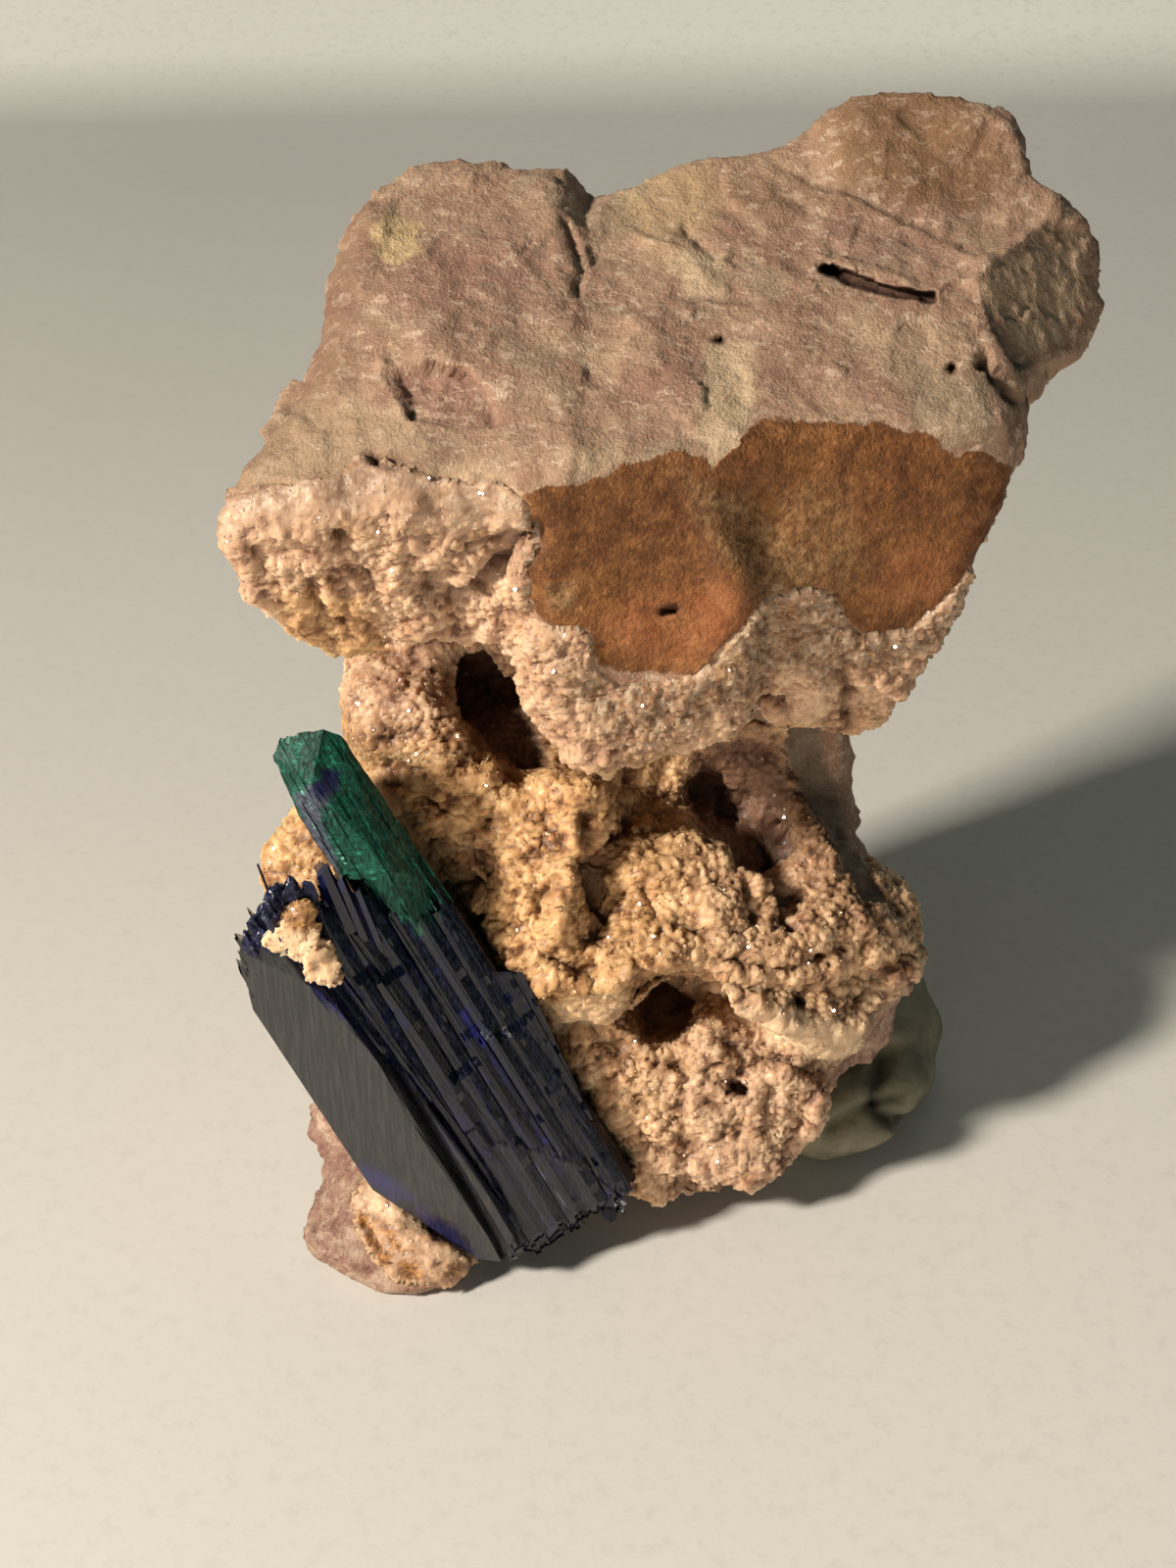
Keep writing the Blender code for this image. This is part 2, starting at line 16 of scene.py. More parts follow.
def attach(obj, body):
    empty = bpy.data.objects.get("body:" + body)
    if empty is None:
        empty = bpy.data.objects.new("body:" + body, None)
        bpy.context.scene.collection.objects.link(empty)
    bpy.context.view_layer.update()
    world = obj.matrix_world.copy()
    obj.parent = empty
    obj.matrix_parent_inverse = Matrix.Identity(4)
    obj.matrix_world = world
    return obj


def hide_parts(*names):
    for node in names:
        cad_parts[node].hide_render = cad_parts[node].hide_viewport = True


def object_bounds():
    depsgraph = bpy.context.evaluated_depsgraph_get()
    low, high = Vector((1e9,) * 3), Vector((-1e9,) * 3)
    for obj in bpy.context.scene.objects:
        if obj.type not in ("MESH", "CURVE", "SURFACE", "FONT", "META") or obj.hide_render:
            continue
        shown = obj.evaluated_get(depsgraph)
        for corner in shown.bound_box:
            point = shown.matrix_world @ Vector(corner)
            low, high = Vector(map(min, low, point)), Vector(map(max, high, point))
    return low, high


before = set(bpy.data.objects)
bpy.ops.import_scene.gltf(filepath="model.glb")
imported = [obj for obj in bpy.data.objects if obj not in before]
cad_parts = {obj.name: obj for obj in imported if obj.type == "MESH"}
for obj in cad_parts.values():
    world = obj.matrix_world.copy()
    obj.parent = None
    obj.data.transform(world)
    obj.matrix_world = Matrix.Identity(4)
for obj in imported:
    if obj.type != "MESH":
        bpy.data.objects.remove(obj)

cad_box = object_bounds()

# ---- sighting sheet, as in the CAD, in millimetres -----------------------------------------------
ORIGIN = np.array([4.38, 16.13, 0.0])
PITCH, FIELD, RANGE = math.radians(33.0), math.radians(36.0), 123.0
TARGET = np.array([0.0, 12.0, 25.0])
AHEAD = np.array([0.0, math.cos(PITCH), -math.sin(PITCH)])
RIGHT = np.array([1.0, 0.0, 0.0])
UP = np.array([0.0, math.sin(PITCH), math.cos(PITCH)])
EYE = TARGET - RANGE * AHEAD
FOCAL = 800.0 / math.tan(FIELD / 2)


def S(column, row, depth):
    ray = AHEAD * FOCAL + RIGHT * (column - 600.0) + UP * (800.0 - row)
    return EYE + ray * ((depth - EYE[1]) / ray[1])


def sheet(P):
    q = P - EYE
    c = q @ AHEAD
    return 600.0 + FOCAL * (q @ RIGHT) / c, 800.0 - FOCAL * (q @ UP) / c


def smooth(x, a, b):
    t = np.clip((np.asarray(x, float) - a) / (b - a), 0.0, 1.0)
    return t * t * (3 - 2 * t)


def unit(v):
    return v / np.maximum(np.linalg.norm(v, axis=-1, keepdims=True), 1e-12)


def seg_dist(U, W, pts, closed=False):
    """Distance on the sheet to a line through these points."""
    d = np.full(len(U), 1e9)
    ends = list(zip(pts, pts[1:] + (pts[:1] if closed else [])))
    if len(pts) == 1:
        ends = [(pts[0], pts[0])]
    for (x0, y0), (x1, y1) in ends:
        dx, dy = x1 - x0, y1 - y0
        n = dx * dx + dy * dy
        t = np.clip(((U - x0) * dx + (W - y0) * dy) / n, 0, 1) if n else 0.0
        d = np.minimum(d, np.hypot(U - x0 - t * dx, W - y0 - t * dy))
    return d


def inside(U, W, pts):
    r = np.zeros(len(U), bool)
    for (x0, y0), (x1, y1) in zip(pts, pts[1:] + pts[:1]):
        if y0 == y1:
            continue
        c = (y0 > W) != (y1 > W)
        r ^= c & (U < (x1 - x0) * (W - y0) / (y1 - y0) + x0)
    return r


def area(U, W, pts, soft):
    """1 inside an outline on the sheet and 0 outside it, over a soft edge."""
    d = seg_dist(U, W, pts, True)
    d = np.where(inside(U, W, pts), d, -d)
    return smooth(d, -soft, soft)


def fbm(P, scale, octaves=3, seed=0.0):
    o = Vector((seed, seed * 1.7 + 3.1, seed * 0.6 - 2.2))
    f = noise.fractal
    return np.array([f(Vector(p) * scale + o, 1.0, 2.0, octaves) for p in P])


def cells(P, scale, seed=0.0):
    """Distances to the nearest and the next feature point, in cells."""
    o = Vector((seed, seed * 1.3 + 7.0, seed * 0.7 + 1.0))
    v = noise.voronoi
    out = np.empty((len(P), 2))
    for i, p in enumerate(P):
        d = v(Vector(p) * scale + o)[0]
        out[i, 0], out[i, 1] = d[0], d[1]
    return out


# ---- meshes ---------------------------------------------------------------------------------------


def new_object(name, verts, faces, smooth_shade=True):
    """verts in design millimetres."""
    me = bpy.data.meshes.new(name)
    me.from_pydata(((np.asarray(verts) - ORIGIN) * 0.001).tolist(), [], faces)
    me.update()
    me.polygons.foreach_set("use_smooth", [smooth_shade] * len(me.polygons))
    ob = bpy.data.objects.new(name, me)
    bpy.context.scene.collection.objects.link(ob)
    return ob


def from_node(name, node, voxel=None, relax=0, factor=0.5):
    """A finer copy of a CAD solid."""
    ob = bpy.data.objects.new(name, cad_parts[node].data.copy())
    bpy.context.scene.collection.objects.link(ob)
    ob.data.materials.clear()
    if voxel:
        m = ob.modifiers.new("fine", "REMESH")
        m.mode, m.voxel_size, m.use_smooth_shade = "VOXEL", voxel * 0.001, True
    if relax:
        m = ob.modifiers.new("relax", "SMOOTH")
        m.factor, m.iterations = factor, relax
    bpy.context.view_layer.update()
    me = bpy.data.meshes.new_from_object(ob.evaluated_get(bpy.context.evaluated_depsgraph_get()))
    ob.modifiers.clear()
    ob.data = me
    return ob


def points_of(ob):
    me = ob.data
    co = np.empty(len(me.vertices) * 3)
    me.vertices.foreach_get("co", co)
    return co.reshape(-1, 3) * 1000.0 + ORIGIN


def normals_of(ob):
    me = ob.data
    no = np.empty(len(me.vertices) * 3)
    me.vertex_normals.foreach_get("vector", no)
    return no.reshape(-1, 3)


def set_points(ob, P):
    ob.data.vertices.foreach_set("co", ((P - ORIGIN) * 0.001).ravel())
    ob.data.update()


def attribute(ob, name, values):
    a = ob.data.attributes.new(name, "FLOAT", "POINT")
    a.data.foreach_set("value", np.asarray(values, np.float32))


def triangles_of(ob):
    me = ob.data
    me.calc_loop_triangles()
    t = np.empty(len(me.loop_triangles) * 3, np.int32)
    me.loop_triangles.foreach_get("vertices", t)
    return t.reshape(-1, 3)


# ---- node graphs ----------------------------------------------------------------------------------


class Graph:
    def __init__(self, name):
        self.m = bpy.data.materials.new(name)
        self.m.use_nodes = True
        self.t = self.m.node_tree
        self.b = self.t.nodes["Principled BSDF"]
        self.c = None

    def node(self, kind, **kw):
        n = self.t.nodes.new(kind)
        for k, v in kw.items():
            setattr(n, k, v)
        return n

    def link(self, a, b):
        self.t.links.new(a, b)

    def put(self, value, socket):
        if isinstance(value, bpy.types.NodeSocket):
            self.link(value, socket)
        elif isinstance(value, tuple):
            socket.default_value = (*value, 1.0) if len(socket.default_value) == 4 and len(value) == 3 else value
        else:
            socket.default_value = value

    def mm(self, stretch=(1, 1, 1), turn=(0, 0, 0)):
        """Object coordinates in millimetres."""
        if self.c is None:
            self.c = self.node("ShaderNodeTexCoord").outputs["Object"]
        n = self.node("ShaderNodeMapping")
        n.inputs["Scale"].default_value = tuple(1000.0 * s for s in stretch)
        n.inputs["Rotation"].default_value = tuple(math.radians(a) for a in turn)
        self.link(self.c, n.inputs["Vector"])
        return n.outputs["Vector"]

    def noise(self, scale, detail=3.0, rough=0.55, warp=0.0, at=None):
        n = self.node("ShaderNodeTexNoise")
        n.inputs["Scale"].default_value, n.inputs["Detail"].default_value = scale, detail
        n.inputs["Roughness"].default_value, n.inputs["Distortion"].default_value = rough, warp
        self.link(at or self.mm(), n.inputs["Vector"])
        return n.outputs["Fac"]

    def cell(self, scale, feature="F1", at=None, jitter=1.0):
        n = self.node("ShaderNodeTexVoronoi", feature=feature)
        n.inputs["Scale"].default_value, n.inputs["Randomness"].default_value = scale, jitter
        self.link(at or self.mm(), n.inputs["Vector"])
        return n.outputs["Distance"]

    def attr(self, name):
        return self.node("ShaderNodeAttribute", attribute_name=name).outputs["Fac"]

    def ramp(self, fac, *stops):
        n = self.node("ShaderNodeValToRGB")
        r = n.color_ramp
        while len(r.elements) > 1:
            r.elements.remove(r.elements[-1])
        for i, (p, c) in enumerate(stops):
            e = r.elements[0] if i == 0 else r.elements.new(p)
            e.position = p
            e.color = (*c, 1.0) if isinstance(c, tuple) else (c, c, c, 1.0)
        self.link(fac, n.inputs["Fac"])
        return n.outputs["Color"]

    def step(self, fac, a, b):
        n = self.node("ShaderNodeMapRange", clamp=True, interpolation_type="SMOOTHSTEP")
        n.inputs["From Min"].default_value, n.inputs["From Max"].default_value = a, b
        self.link(fac, n.inputs["Value"])
        return n.outputs["Result"]

    def mix(self, a, b, fac, blend="MIX"):
        n = self.node("ShaderNodeMix", data_type="RGBA", blend_type=blend)
        self.put(fac, n.inputs[0])
        self.put(a, n.inputs[6])
        self.put(b, n.inputs[7])
        return n.outputs[2]

    def math(self, op, a, b=0.0, clamp=False):
        n = self.node("ShaderNodeMath", operation=op, use_clamp=clamp)
        self.put(a, n.inputs[0])
        self.put(b, n.inputs[1])
        return n.outputs[0]

    def bump(self, height, strength, distance, under=None):
        n = self.node("ShaderNodeBump")
        n.inputs["Strength"].default_value, n.inputs["Distance"].default_value = strength, distance * 0.001
        self.link(height, n.inputs["Height"])
        if under:
            self.link(under, n.inputs["Normal"])
        return n.outputs["Normal"]

    def out(self, colour=None, rough=None, normal=None, **const):
        for v, s in ((colour, "Base Color"), (rough, "Roughness"), (normal, "Normal")):
            if v is not None:
                self.put(v, self.b.inputs[s])
        for k, v in const.items():
            self.b.inputs[k.replace("_", " ")].default_value = v
        return self.m


def rock_material():
    g = Graph("host_rock_skin")
    broad = g.noise(0.16, 3, 0.6, 0.4)
    mid = g.noise(0.55, 4, 0.62, 0.6, g.mm((1, 1, 1), (20, 30, 10)))
    fine = g.noise(3.0, 3, 0.65)
    grain = g.noise(7.5, 2, 0.7)
    fleck = g.noise(1.5, 4, 0.68, 0.5, g.mm((0.75, 1.25, 1.25), (15, 25, -38)))
    combed = g.noise(3.0, 3, 0.66, 0.3, g.mm((1.15, 1.15, 0.78), (8, 26, 0)))
    # the bare fracture faces: pinkish brown with pale micaceous flecks, mauve, cream and grey-green in places
    bare = g.ramp(broad, (0.30, (0.26, 0.145, 0.095)), (0.45, (0.325, 0.195, 0.128)), (0.55, (0.345, 0.215, 0.138)), (0.70, (0.40, 0.265, 0.170)))
    bare = g.mix(bare, (0.265, 0.135, 0.092), g.math("MULTIPLY", g.step(mid, 0.50, 0.62), 0.6))
    bare = g.mix(bare, (0.31, 0.235, 0.15), g.math("MULTIPLY", g.step(g.noise(0.33, 4, 0.6, 0.5, g.mm((1, 1, 1), (40, 10, 60))), 0.54, 0.66), 0.45))
    bare = g.mix(bare, (0.275, 0.145, 0.105), g.attr("mauve"))
    bare = g.mix(bare, (0.315, 0.25, 0.16), g.attr("green"))
    bare = g.mix(bare, (0.29, 0.165, 0.088), g.attr("tan"))
    # pale patches; the same mask also paints light onto the shaded facet of the right-hand spur
    bare = g.mix(bare, (0.50, 0.36, 0.225), g.attr("cream_and_painted_light"))
    bare = g.mix(bare, (0.54, 0.385, 0.20), g.attr("ochre"))
    away = g.noise(0.14, 3, 0.6, 0.8, g.mm((1, 1, 1), (70, 20, 35)))
    bare = g.mix(bare, g.ramp(away, (0.38, (0.235, 0.120, 0.070)), (0.47, (0.33, 0.205, 0.135)), (0.56, (0.42, 0.30, 0.19)), (0.66, (0.50, 0.38, 0.26))), g.math("MULTIPLY", g.attr("far"), 0.65))
    bare = g.mix(bare, (0.20, 0.085, 0.035), g.math("MULTIPLY", g.math("MULTIPLY", g.ramp(mid, (0.47, 0.0), (0.50, 1.0), (0.53, 0.0)), g.attr("far")), 0.55))
    rose = g.ramp(g.noise(0.9, 4, 0.66, 0.5), (0.36, (0.20, 0.085, 0.065)), (0.45, (0.29, 0.150, 0.115)), (0.54, (0.38, 0.240, 0.175)), (0.64, (0.52, 0.38, 0.285)))
    bare = g.mix(bare, rose, g.attr("rose"))
    bare = g.mix(bare, (0.56, 0.415, 0.30), g.math("MULTIPLY", g.step(fleck, 0.53, 0.64), 0.62))
    bare = g.mix(bare, (0.150, 0.078, 0.048), g.math("MULTIPLY", g.step(fine, 0.56, 0.72), 0.5))
    bare = g.mix(bare, (0.64, 0.49, 0.36), g.math("MULTIPLY", g.step(grain, 0.58, 0.70), 0.40))
    bare = g.mix(bare, (0.15, 0.085, 0.055), g.math("MULTIPLY", g.step(grain, 0.42, 0.31), 0.40))
    # iron stain, brown to orange, combed and sugary
    iron = g.ramp(g.noise(1.1, 4, 0.72, 0.2), (0.34, (0.105, 0.044, 0.018)), (0.46, (0.165, 0.072, 0.028)), (0.57, (0.225, 0.104, 0.042)), (0.70, (0.32, 0.165, 0.075)))
    iron = g.mix(iron, (0.62, 0.50, 0.46), g.math("MULTIPLY", g.step(g.noise(0.30, 3, 0.6, 0.3, g.mm((1, 1, 1), (30, 50, 20))), 0.44, 0.60), 0.55), "MULTIPLY")
    iron = g.mix(iron, g.ramp(mid, (0.4, (0.25, 0.092, 0.042)), (0.6, (0.37, 0.165, 0.085))), g.attr("glow"))
    drab = g.ramp(g.noise(2.2, 4, 0.66), (0.38, (0.12, 0.075, 0.042)), (0.48, (0.21, 0.125, 0.070)), (0.60, (0.33, 0.235, 0.155)))
    iron = g.mix(iron, drab, g.attr("drab"))
    iron = g.mix(iron, (0.085, 0.036, 0.016), g.math("MULTIPLY", g.step(combed, 0.50, 0.36), 0.40))
    iron = g.mix(iron, (0.36, 0.19, 0.085), g.math("MULTIPLY", g.step(combed, 0.53, 0.68), 0.30))
    iron = g.mix(iron, (0.055, 0.024, 0.011), g.math("MULTIPLY", g.step(grain, 0.43, 0.32), 0.38))
    iron = g.mix(iron, (0.42, 0.25, 0.125), g.math("MULTIPLY", g.step(grain, 0.60, 0.72), 0.40))
    iron = g.mix(iron, (1.0, 0.86, 0.62), 1.0, "MULTIPLY")
    # the stain ends along a crisp, ragged line
    ragged = g.math("ADD", g.attr("stain"), g.math("MULTIPLY", g.math("SUBTRACT", g.noise(2.0, 4, 0.65), 0.5), 1.1))
    stained = g.step(ragged, 0.38, 0.62)
    colour = g.mix(bare, iron, stained)
    colour = g.mix(colour, (0.46, 0.28, 0.165), g.math("MULTIPLY", g.attr("druse"), 0.9))
    # painted shade: the colour is multiplied darker where the surface should lie in shade
    colour = g.mix(colour, (0.50, 0.44, 0.40), g.attr("painted_shade"), "MULTIPLY")
    # painted shade: pits, slots and the vug darkened to near-black brown
    colour = g.mix(colour, (0.072, 0.033, 0.020), g.math("MULTIPLY", g.attr("deep"), 0.95))
    # painted shade: the rock's right-hand flank, which faces away from the key, painted dark grey-brown
    colour = g.mix(colour, g.ramp(mid, (0.4, (0.085, 0.068, 0.048)), (0.6, (0.17, 0.13, 0.09))), g.attr("wall"))
    colour = g.mix(colour, (0.90, 0.89, 0.88), 1.0, "MULTIPLY")
    rough = g.ramp(fleck, (0.42, 0.85), (0.56, 0.62), (0.66, 0.42))
    h = g.math("ADD", g.math("MULTIPLY", grain, 0.55), g.math("ADD", g.math("MULTIPLY", fine, 0.5), g.math("MULTIPLY", fleck, 0.5)))
    h = g.math("ADD", h, g.math("MULTIPLY", g.math("MULTIPLY", combed, stained), 0.8))
    n = g.bump(g.math("ADD", h, g.math("MULTIPLY", g.cell(4.6), 0.25)), 0.6, 0.22)
    return g.out(colour, rough, n, Specular_IOR_Level=0.4)


def druse_colour(g, v):
    """Pale buff to tan on the knobs, darker brown down in the crevices, partly brown staining and partly painted shade;
    pinker under the cap, paler low at the right.
    """
    colour = g.ramp(v, (0.02, (0.16, 0.070, 0.028)), (0.18, (0.33, 0.170, 0.074)), (0.40, (0.53, 0.312, 0.142)), (0.64, (0.66, 0.410, 0.198)), (0.90, (0.76, 0.51, 0.268)))
    pale = g.ramp(v, (0.02, (0.16, 0.078, 0.042)), (0.18, (0.34, 0.195, 0.110)), (0.40, (0.51, 0.325, 0.200)), (0.64, (0.62, 0.415, 0.265)), (0.90, (0.74, 0.53, 0.355)))
    pink = g.ramp(v, (0.02, (0.20, 0.100, 0.060)), (0.18, (0.36, 0.210, 0.135)), (0.40, (0.50, 0.320, 0.210)), (0.64, (0.61, 0.410, 0.275)), (0.90, (0.74, 0.54, 0.38)))
    rim = g.ramp(g.noise(1.5, 5, 0.70, 0.6), (0.38, (0.13, 0.060, 0.026)), (0.47, (0.26, 0.145, 0.075)), (0.55, (0.33, 0.250, 0.170)), (0.66, (0.56, 0.42, 0.29)))
    colour = g.mix(colour, pale, g.attr("pale"))
    colour = g.mix(colour, pink, g.attr("pink"))
    colour = g.mix(colour, rim, g.math("MULTIPLY", g.attr("rim"), 0.8))
    thin = g.ramp(g.noise(1.3, 5, 0.66, 0.4), (0.38, (0.36, 0.225, 0.145)), (0.50, (0.45, 0.305, 0.205)), (0.62, (0.60, 0.45, 0.32)))
    colour = g.mix(thin, colour, g.step(g.math("ADD", g.attr("thick"), g.math("MULTIPLY", g.math("SUBTRACT", g.noise(1.1, 4, 0.6), 0.5), 0.9)), 0.10, 0.70))
    colour = g.mix(colour, g.ramp(g.noise(2.4, 3, 0.6), (0.42, (0.17, 0.075, 0.025)), (0.52, (0.36, 0.17, 0.05)), (0.62, (0.50, 0.27, 0.09))), g.attr("rust"))
    colour = g.mix(colour, (0.91, 0.87, 0.85), 1.0, "MULTIPLY")
    # painted shade: the same darkening multiplied into the druse
    colour = g.mix(colour, (0.50, 0.44, 0.40), g.attr("painted_shade"), "MULTIPLY")
    # painted shade: pits, recesses and the vug darkened to dark brown
    return g.mix(colour, (0.115, 0.054, 0.036), g.math("MULTIPLY", g.attr("deep"), 0.82))


def coat_material():
    g = Graph("quartz_druse")
    blot = g.noise(0.7, 4, 0.6, 0.3)
    v = g.math("ADD", g.math("MULTIPLY", g.attr("knob"), 0.80), g.math("MULTIPLY", g.math("SUBTRACT", g.noise(2.8, 4, 0.65), 0.5), 0.45))
    v = g.math("ADD", v, g.math("MULTIPLY", g.math("SUBTRACT", blot, 0.5), 0.55), True)
    colour = druse_colour(g, v)
    # painted light: the up-facing lip and ledge are painted paler and warmer; the same mask gives paler druse on the
    # foot and the crust
    colour = g.mix(colour, (0.88, 0.64, 0.41), g.math("MULTIPLY", g.attr("calm"), 0.62))
    rough = g.ramp(g.noise(6.0, 2, 0.6), (0.35, 0.70), (0.55, 0.48), (0.68, 0.30))
    n = g.bump(g.math("ADD", g.cell(5.2), g.math("MULTIPLY", g.noise(11.0, 2, 0.6), 0.7)), 0.26, 0.12)
    return g.out(colour, rough, n, Specular_IOR_Level=0.5, Subsurface_Weight=0.65, Subsurface_Radius=(0.0016, 0.0010, 0.0006), Subsurface_Scale=0.6)


def quartz_material(name):
    """Small quartz crystals standing on the knobs."""
    g = Graph(name)
    v = g.math("ADD", g.math("MULTIPLY", g.attr("knob"), 0.62), g.math("MULTIPLY", g.attr("grain"), 0.34), True)
    colour = druse_colour(g, v)
    # painted light: the crystals on the lip and ledge take the same paler colour
    colour = g.mix(colour, (0.88, 0.64, 0.41), g.math("MULTIPLY", g.attr("calm"), 0.62))
    rough = g.ramp(g.attr("grain"), (0.0, 0.50), (0.5, 0.30), (0.7, 0.08), (1.0, 0.03))
    n = g.bump(g.noise(9.0, 3, 0.6), 0.08, 0.04)
    return g.out(colour, rough, n, Specular_IOR_Level=0.7)


def azurite_material(name, gloss, index):
    g = Graph(name)
    fibre = g.noise(1.0, 5, 0.62, 0.0, g.mm((7.0, 7.0, 0.22), AXIS_TURN))
    hatch = g.noise(1.0, 4, 0.65, 0.2, g.mm((3.2, 3.2, 0.8), AXIS_TURN))
    broad = g.noise(0.5, 3, 0.6, 0.5)
    colour = g.ramp(fibre, (0.36, (0.0018, 0.0020, 0.005)), (0.52, (0.003, 0.0035, 0.014)), (0.62, (0.006, 0.007, 0.036)), (0.74, (0.014, 0.016, 0.11)))
    colour = g.mix(colour, (0.014, 0.014, 0.125), g.math("MULTIPLY", g.attr("blue"), g.step(hatch, 0.46, 0.58)))
    colour = g.mix(colour, (0.016, 0.016, 0.12), g.math("MULTIPLY", g.step(hatch, 0.63, 0.70), 0.45))
    plate = g.ramp(fibre, (0.38, (0.010, 0.010, 0.012)), (0.50, (0.018, 0.017, 0.017)), (0.64, (0.030, 0.028, 0.027)))
    colour = g.mix(colour, plate, g.attr("mirror"))
    colour = g.mix(colour, (0.020, 0.020, 0.085), g.math("MULTIPLY", g.math("MULTIPLY", g.attr("blue"), g.attr("mirror")), g.step(broad, 0.40, 0.60)))
    colour = g.mix(colour, (0.12, 0.13, 0.20), g.math("MULTIPLY", g.attr("chalk"), 0.6))
    colour = g.mix(colour, g.ramp(hatch, (0.45, (0.003, 0.035, 0.022)), (0.60, (0.010, 0.12, 0.07))), g.attr("green"))
    rough = g.ramp(fibre, (0.35, 0.14), (0.50, 0.24), (0.68, 0.46))
    rough = g.mix(rough, g.ramp(broad, (0.3, 0.24), (0.7, 0.34)), g.attr("mirror"))
    # darker, glossier laths: painted shade on the right-hand laths and the side faces turned from the key; some wide
    # laths are darker of their own
    colour = g.mix(colour, g.ramp(fibre, (0.45, (0.0012, 0.0013, 0.0035)), (0.62, (0.0030, 0.0034, 0.016)), (0.72, (0.010, 0.011, 0.080))), g.math("MULTIPLY", g.attr("velvet_and_painted_shade"), 0.85))
    rough = g.mix(rough, g.ramp(fibre, (0.40, 0.10), (0.62, 0.34)), g.math("MULTIPLY", g.attr("velvet_and_painted_shade"), 0.85))
    n = g.bump(fibre, 0.22, 0.05)
    n = g.bump(g.noise(3.0, 4, 0.6), 0.08, 0.03, n)
    return g.out(colour, rough, n, Specular_IOR_Level=gloss, IOR=index)


def malachite_material():
    g = Graph("malachite_fibres")
    fibre = g.noise(1.0, 5, 0.66, 0.0, g.mm((6.5, 6.5, 1.1), AXIS_TURN))
    spray = g.noise(1.0, 5, 0.66, 0.3, g.mm((2.0, 7.0, 5.0), (35, 20, 50)))
    clump = g.noise(1.1, 4, 0.6, 0.6)
    mixed = g.mix(fibre, spray, g.step(clump, 0.46, 0.54))
    v = g.math("ADD", g.math("MULTIPLY", mixed, 0.72), g.math("MULTIPLY", clump, 0.30))
    colour = g.ramp(v, (0.38, (0.0012, 0.011, 0.008)), (0.48, (0.0022, 0.036, 0.023)), (0.57, (0.005, 0.085, 0.052)), (0.68, (0.035, 0.24, 0.16)))
    colour = g.mix(colour, g.ramp(spray, (0.4, (0.030, 0.034, 0.050)), (0.6, (0.075, 0.083, 0.115))), g.attr("slate"))
    colour = g.mix(colour, (0.006, 0.007, 0.045), g.attr("ink"))
    colour = g.mix(colour, (0.20, 0.50, 0.38), g.math("MULTIPLY", g.attr("chalk"), g.step(mixed, 0.50, 0.62)))
    rough = g.ramp(mixed, (0.35, 0.60), (0.66, 0.32))
    n = g.bump(mixed, 0.50, 0.12)
    n = g.bump(g.noise(9.0, 3, 0.6), 0.20, 0.05, n)
    return g.out(colour, rough, n, Specular_IOR_Level=0.36)


def putty_material():
    g = Graph("putty_skin")
    mottled = g.noise(0.45, 4, 0.6, 0.4)
    colour = g.ramp(mottled, (0.34, (0.12, 0.108, 0.070)), (0.52, (0.18, 0.160, 0.105)), (0.70, (0.24, 0.215, 0.15)))
    colour = g.mix(colour, (0.09, 0.08, 0.055), g.math("MULTIPLY", g.step(g.noise(2.0, 4, 0.7), 0.60, 0.72), 0.5))
    colour = g.mix(colour, (0.05, 0.045, 0.03), g.attr("crease"))
    rough = g.ramp(g.noise(1.1, 3), (0.3, 0.55), (0.7, 0.75))
    n = g.bump(g.noise(1.2, 4, 0.55, 0.3), 0.35, 0.25)
    n = g.bump(g.noise(6.0, 3, 0.6), 0.2, 0.06, n)
    return g.out(colour, rough, n, Specular_IOR_Level=0.45)


# ---- the crystal's own axes -----------------------------------------------------------------------
A0, A1 = S(322, 934, 4.6), S(528, 1268, 1.9)
AXIS = unit(A1 - A0)  # down the blades
_eye = unit(EYE - (A0 + A1) / 2)
FACE = unit(_eye - AXIS * (_eye @ AXIS))  # towards the display side
ACROSS = np.cross(FACE, AXIS)  # across the blades
if ACROSS[0] < 0:
    ACROSS = -ACROSS
_m = Matrix((Vector(ACROSS), Vector(FACE), Vector(AXIS)))  # rows: turns the blades' axis to Z
AXIS_TURN = tuple(math.degrees(a) for a in _m.to_euler("XYZ"))


def along(P):
    q = P - A0
    return q @ ACROSS, q @ AXIS, q @ FACE


# ---- grains ---------------------------------------------------------------------------------------


def scatter(P, N, T, weight, spacing, limit, seed):
    """Points spread over triangles T, denser where weight is high, no closer than about spacing."""
    rng = np.random.default_rng(seed)
    a, b, c = P[T[:, 0]], P[T[:, 1]], P[T[:, 2]]
    size = 0.5 * np.linalg.norm(np.cross(b - a, c - a), axis=1)
    w = size * weight[T].mean(1)
    total = w.sum()
    if total <= 0:
        return np.zeros((0, 3)), np.zeros((0, 3)), np.zeros((0, 3), int), np.zeros((0, 3))
    want = int(min(limit * 2.2, 2.2 * total / (spacing * spacing)))
    pick = rng.choice(len(T), want, p=w / total)
    r1, r2 = np.sqrt(rng.random(want)), rng.random(want)
    bary = np.stack([1 - r1, r1 * (1 - r2), r1 * r2], 1)
    pts = (P[T[pick]] * bary[..., None]).sum(1)
    keep, grid = [], {}
    cell = spacing
    key = np.floor(pts / cell).astype(int)
    for i in range(want):
        k = tuple(key[i])
        ok = True
        for dx in (-1, 0, 1):
            for dy in (-1, 0, 1):
                for dz in (-1, 0, 1):
                    for j in grid.get((k[0] + dx, k[1] + dy, k[2] + dz), ()):
                        e = pts[i] - pts[j]
                        if e[0] * e[0] + e[1] * e[1] + e[2] * e[2] < (0.72 * spacing) ** 2:
                            ok = False
                            break
                    if not ok:
                        break
                if not ok:
                    break
            if not ok:
                break
        if ok:
            keep.append(i)
            grid.setdefault(k, []).append(i)
            if len(keep) >= limit:
                break
    keep = np.array(keep)
    n = unit((N[T[pick[keep]]] * bary[keep][..., None]).sum(1))
    return pts[keep], n, T[pick[keep]], bary[keep]


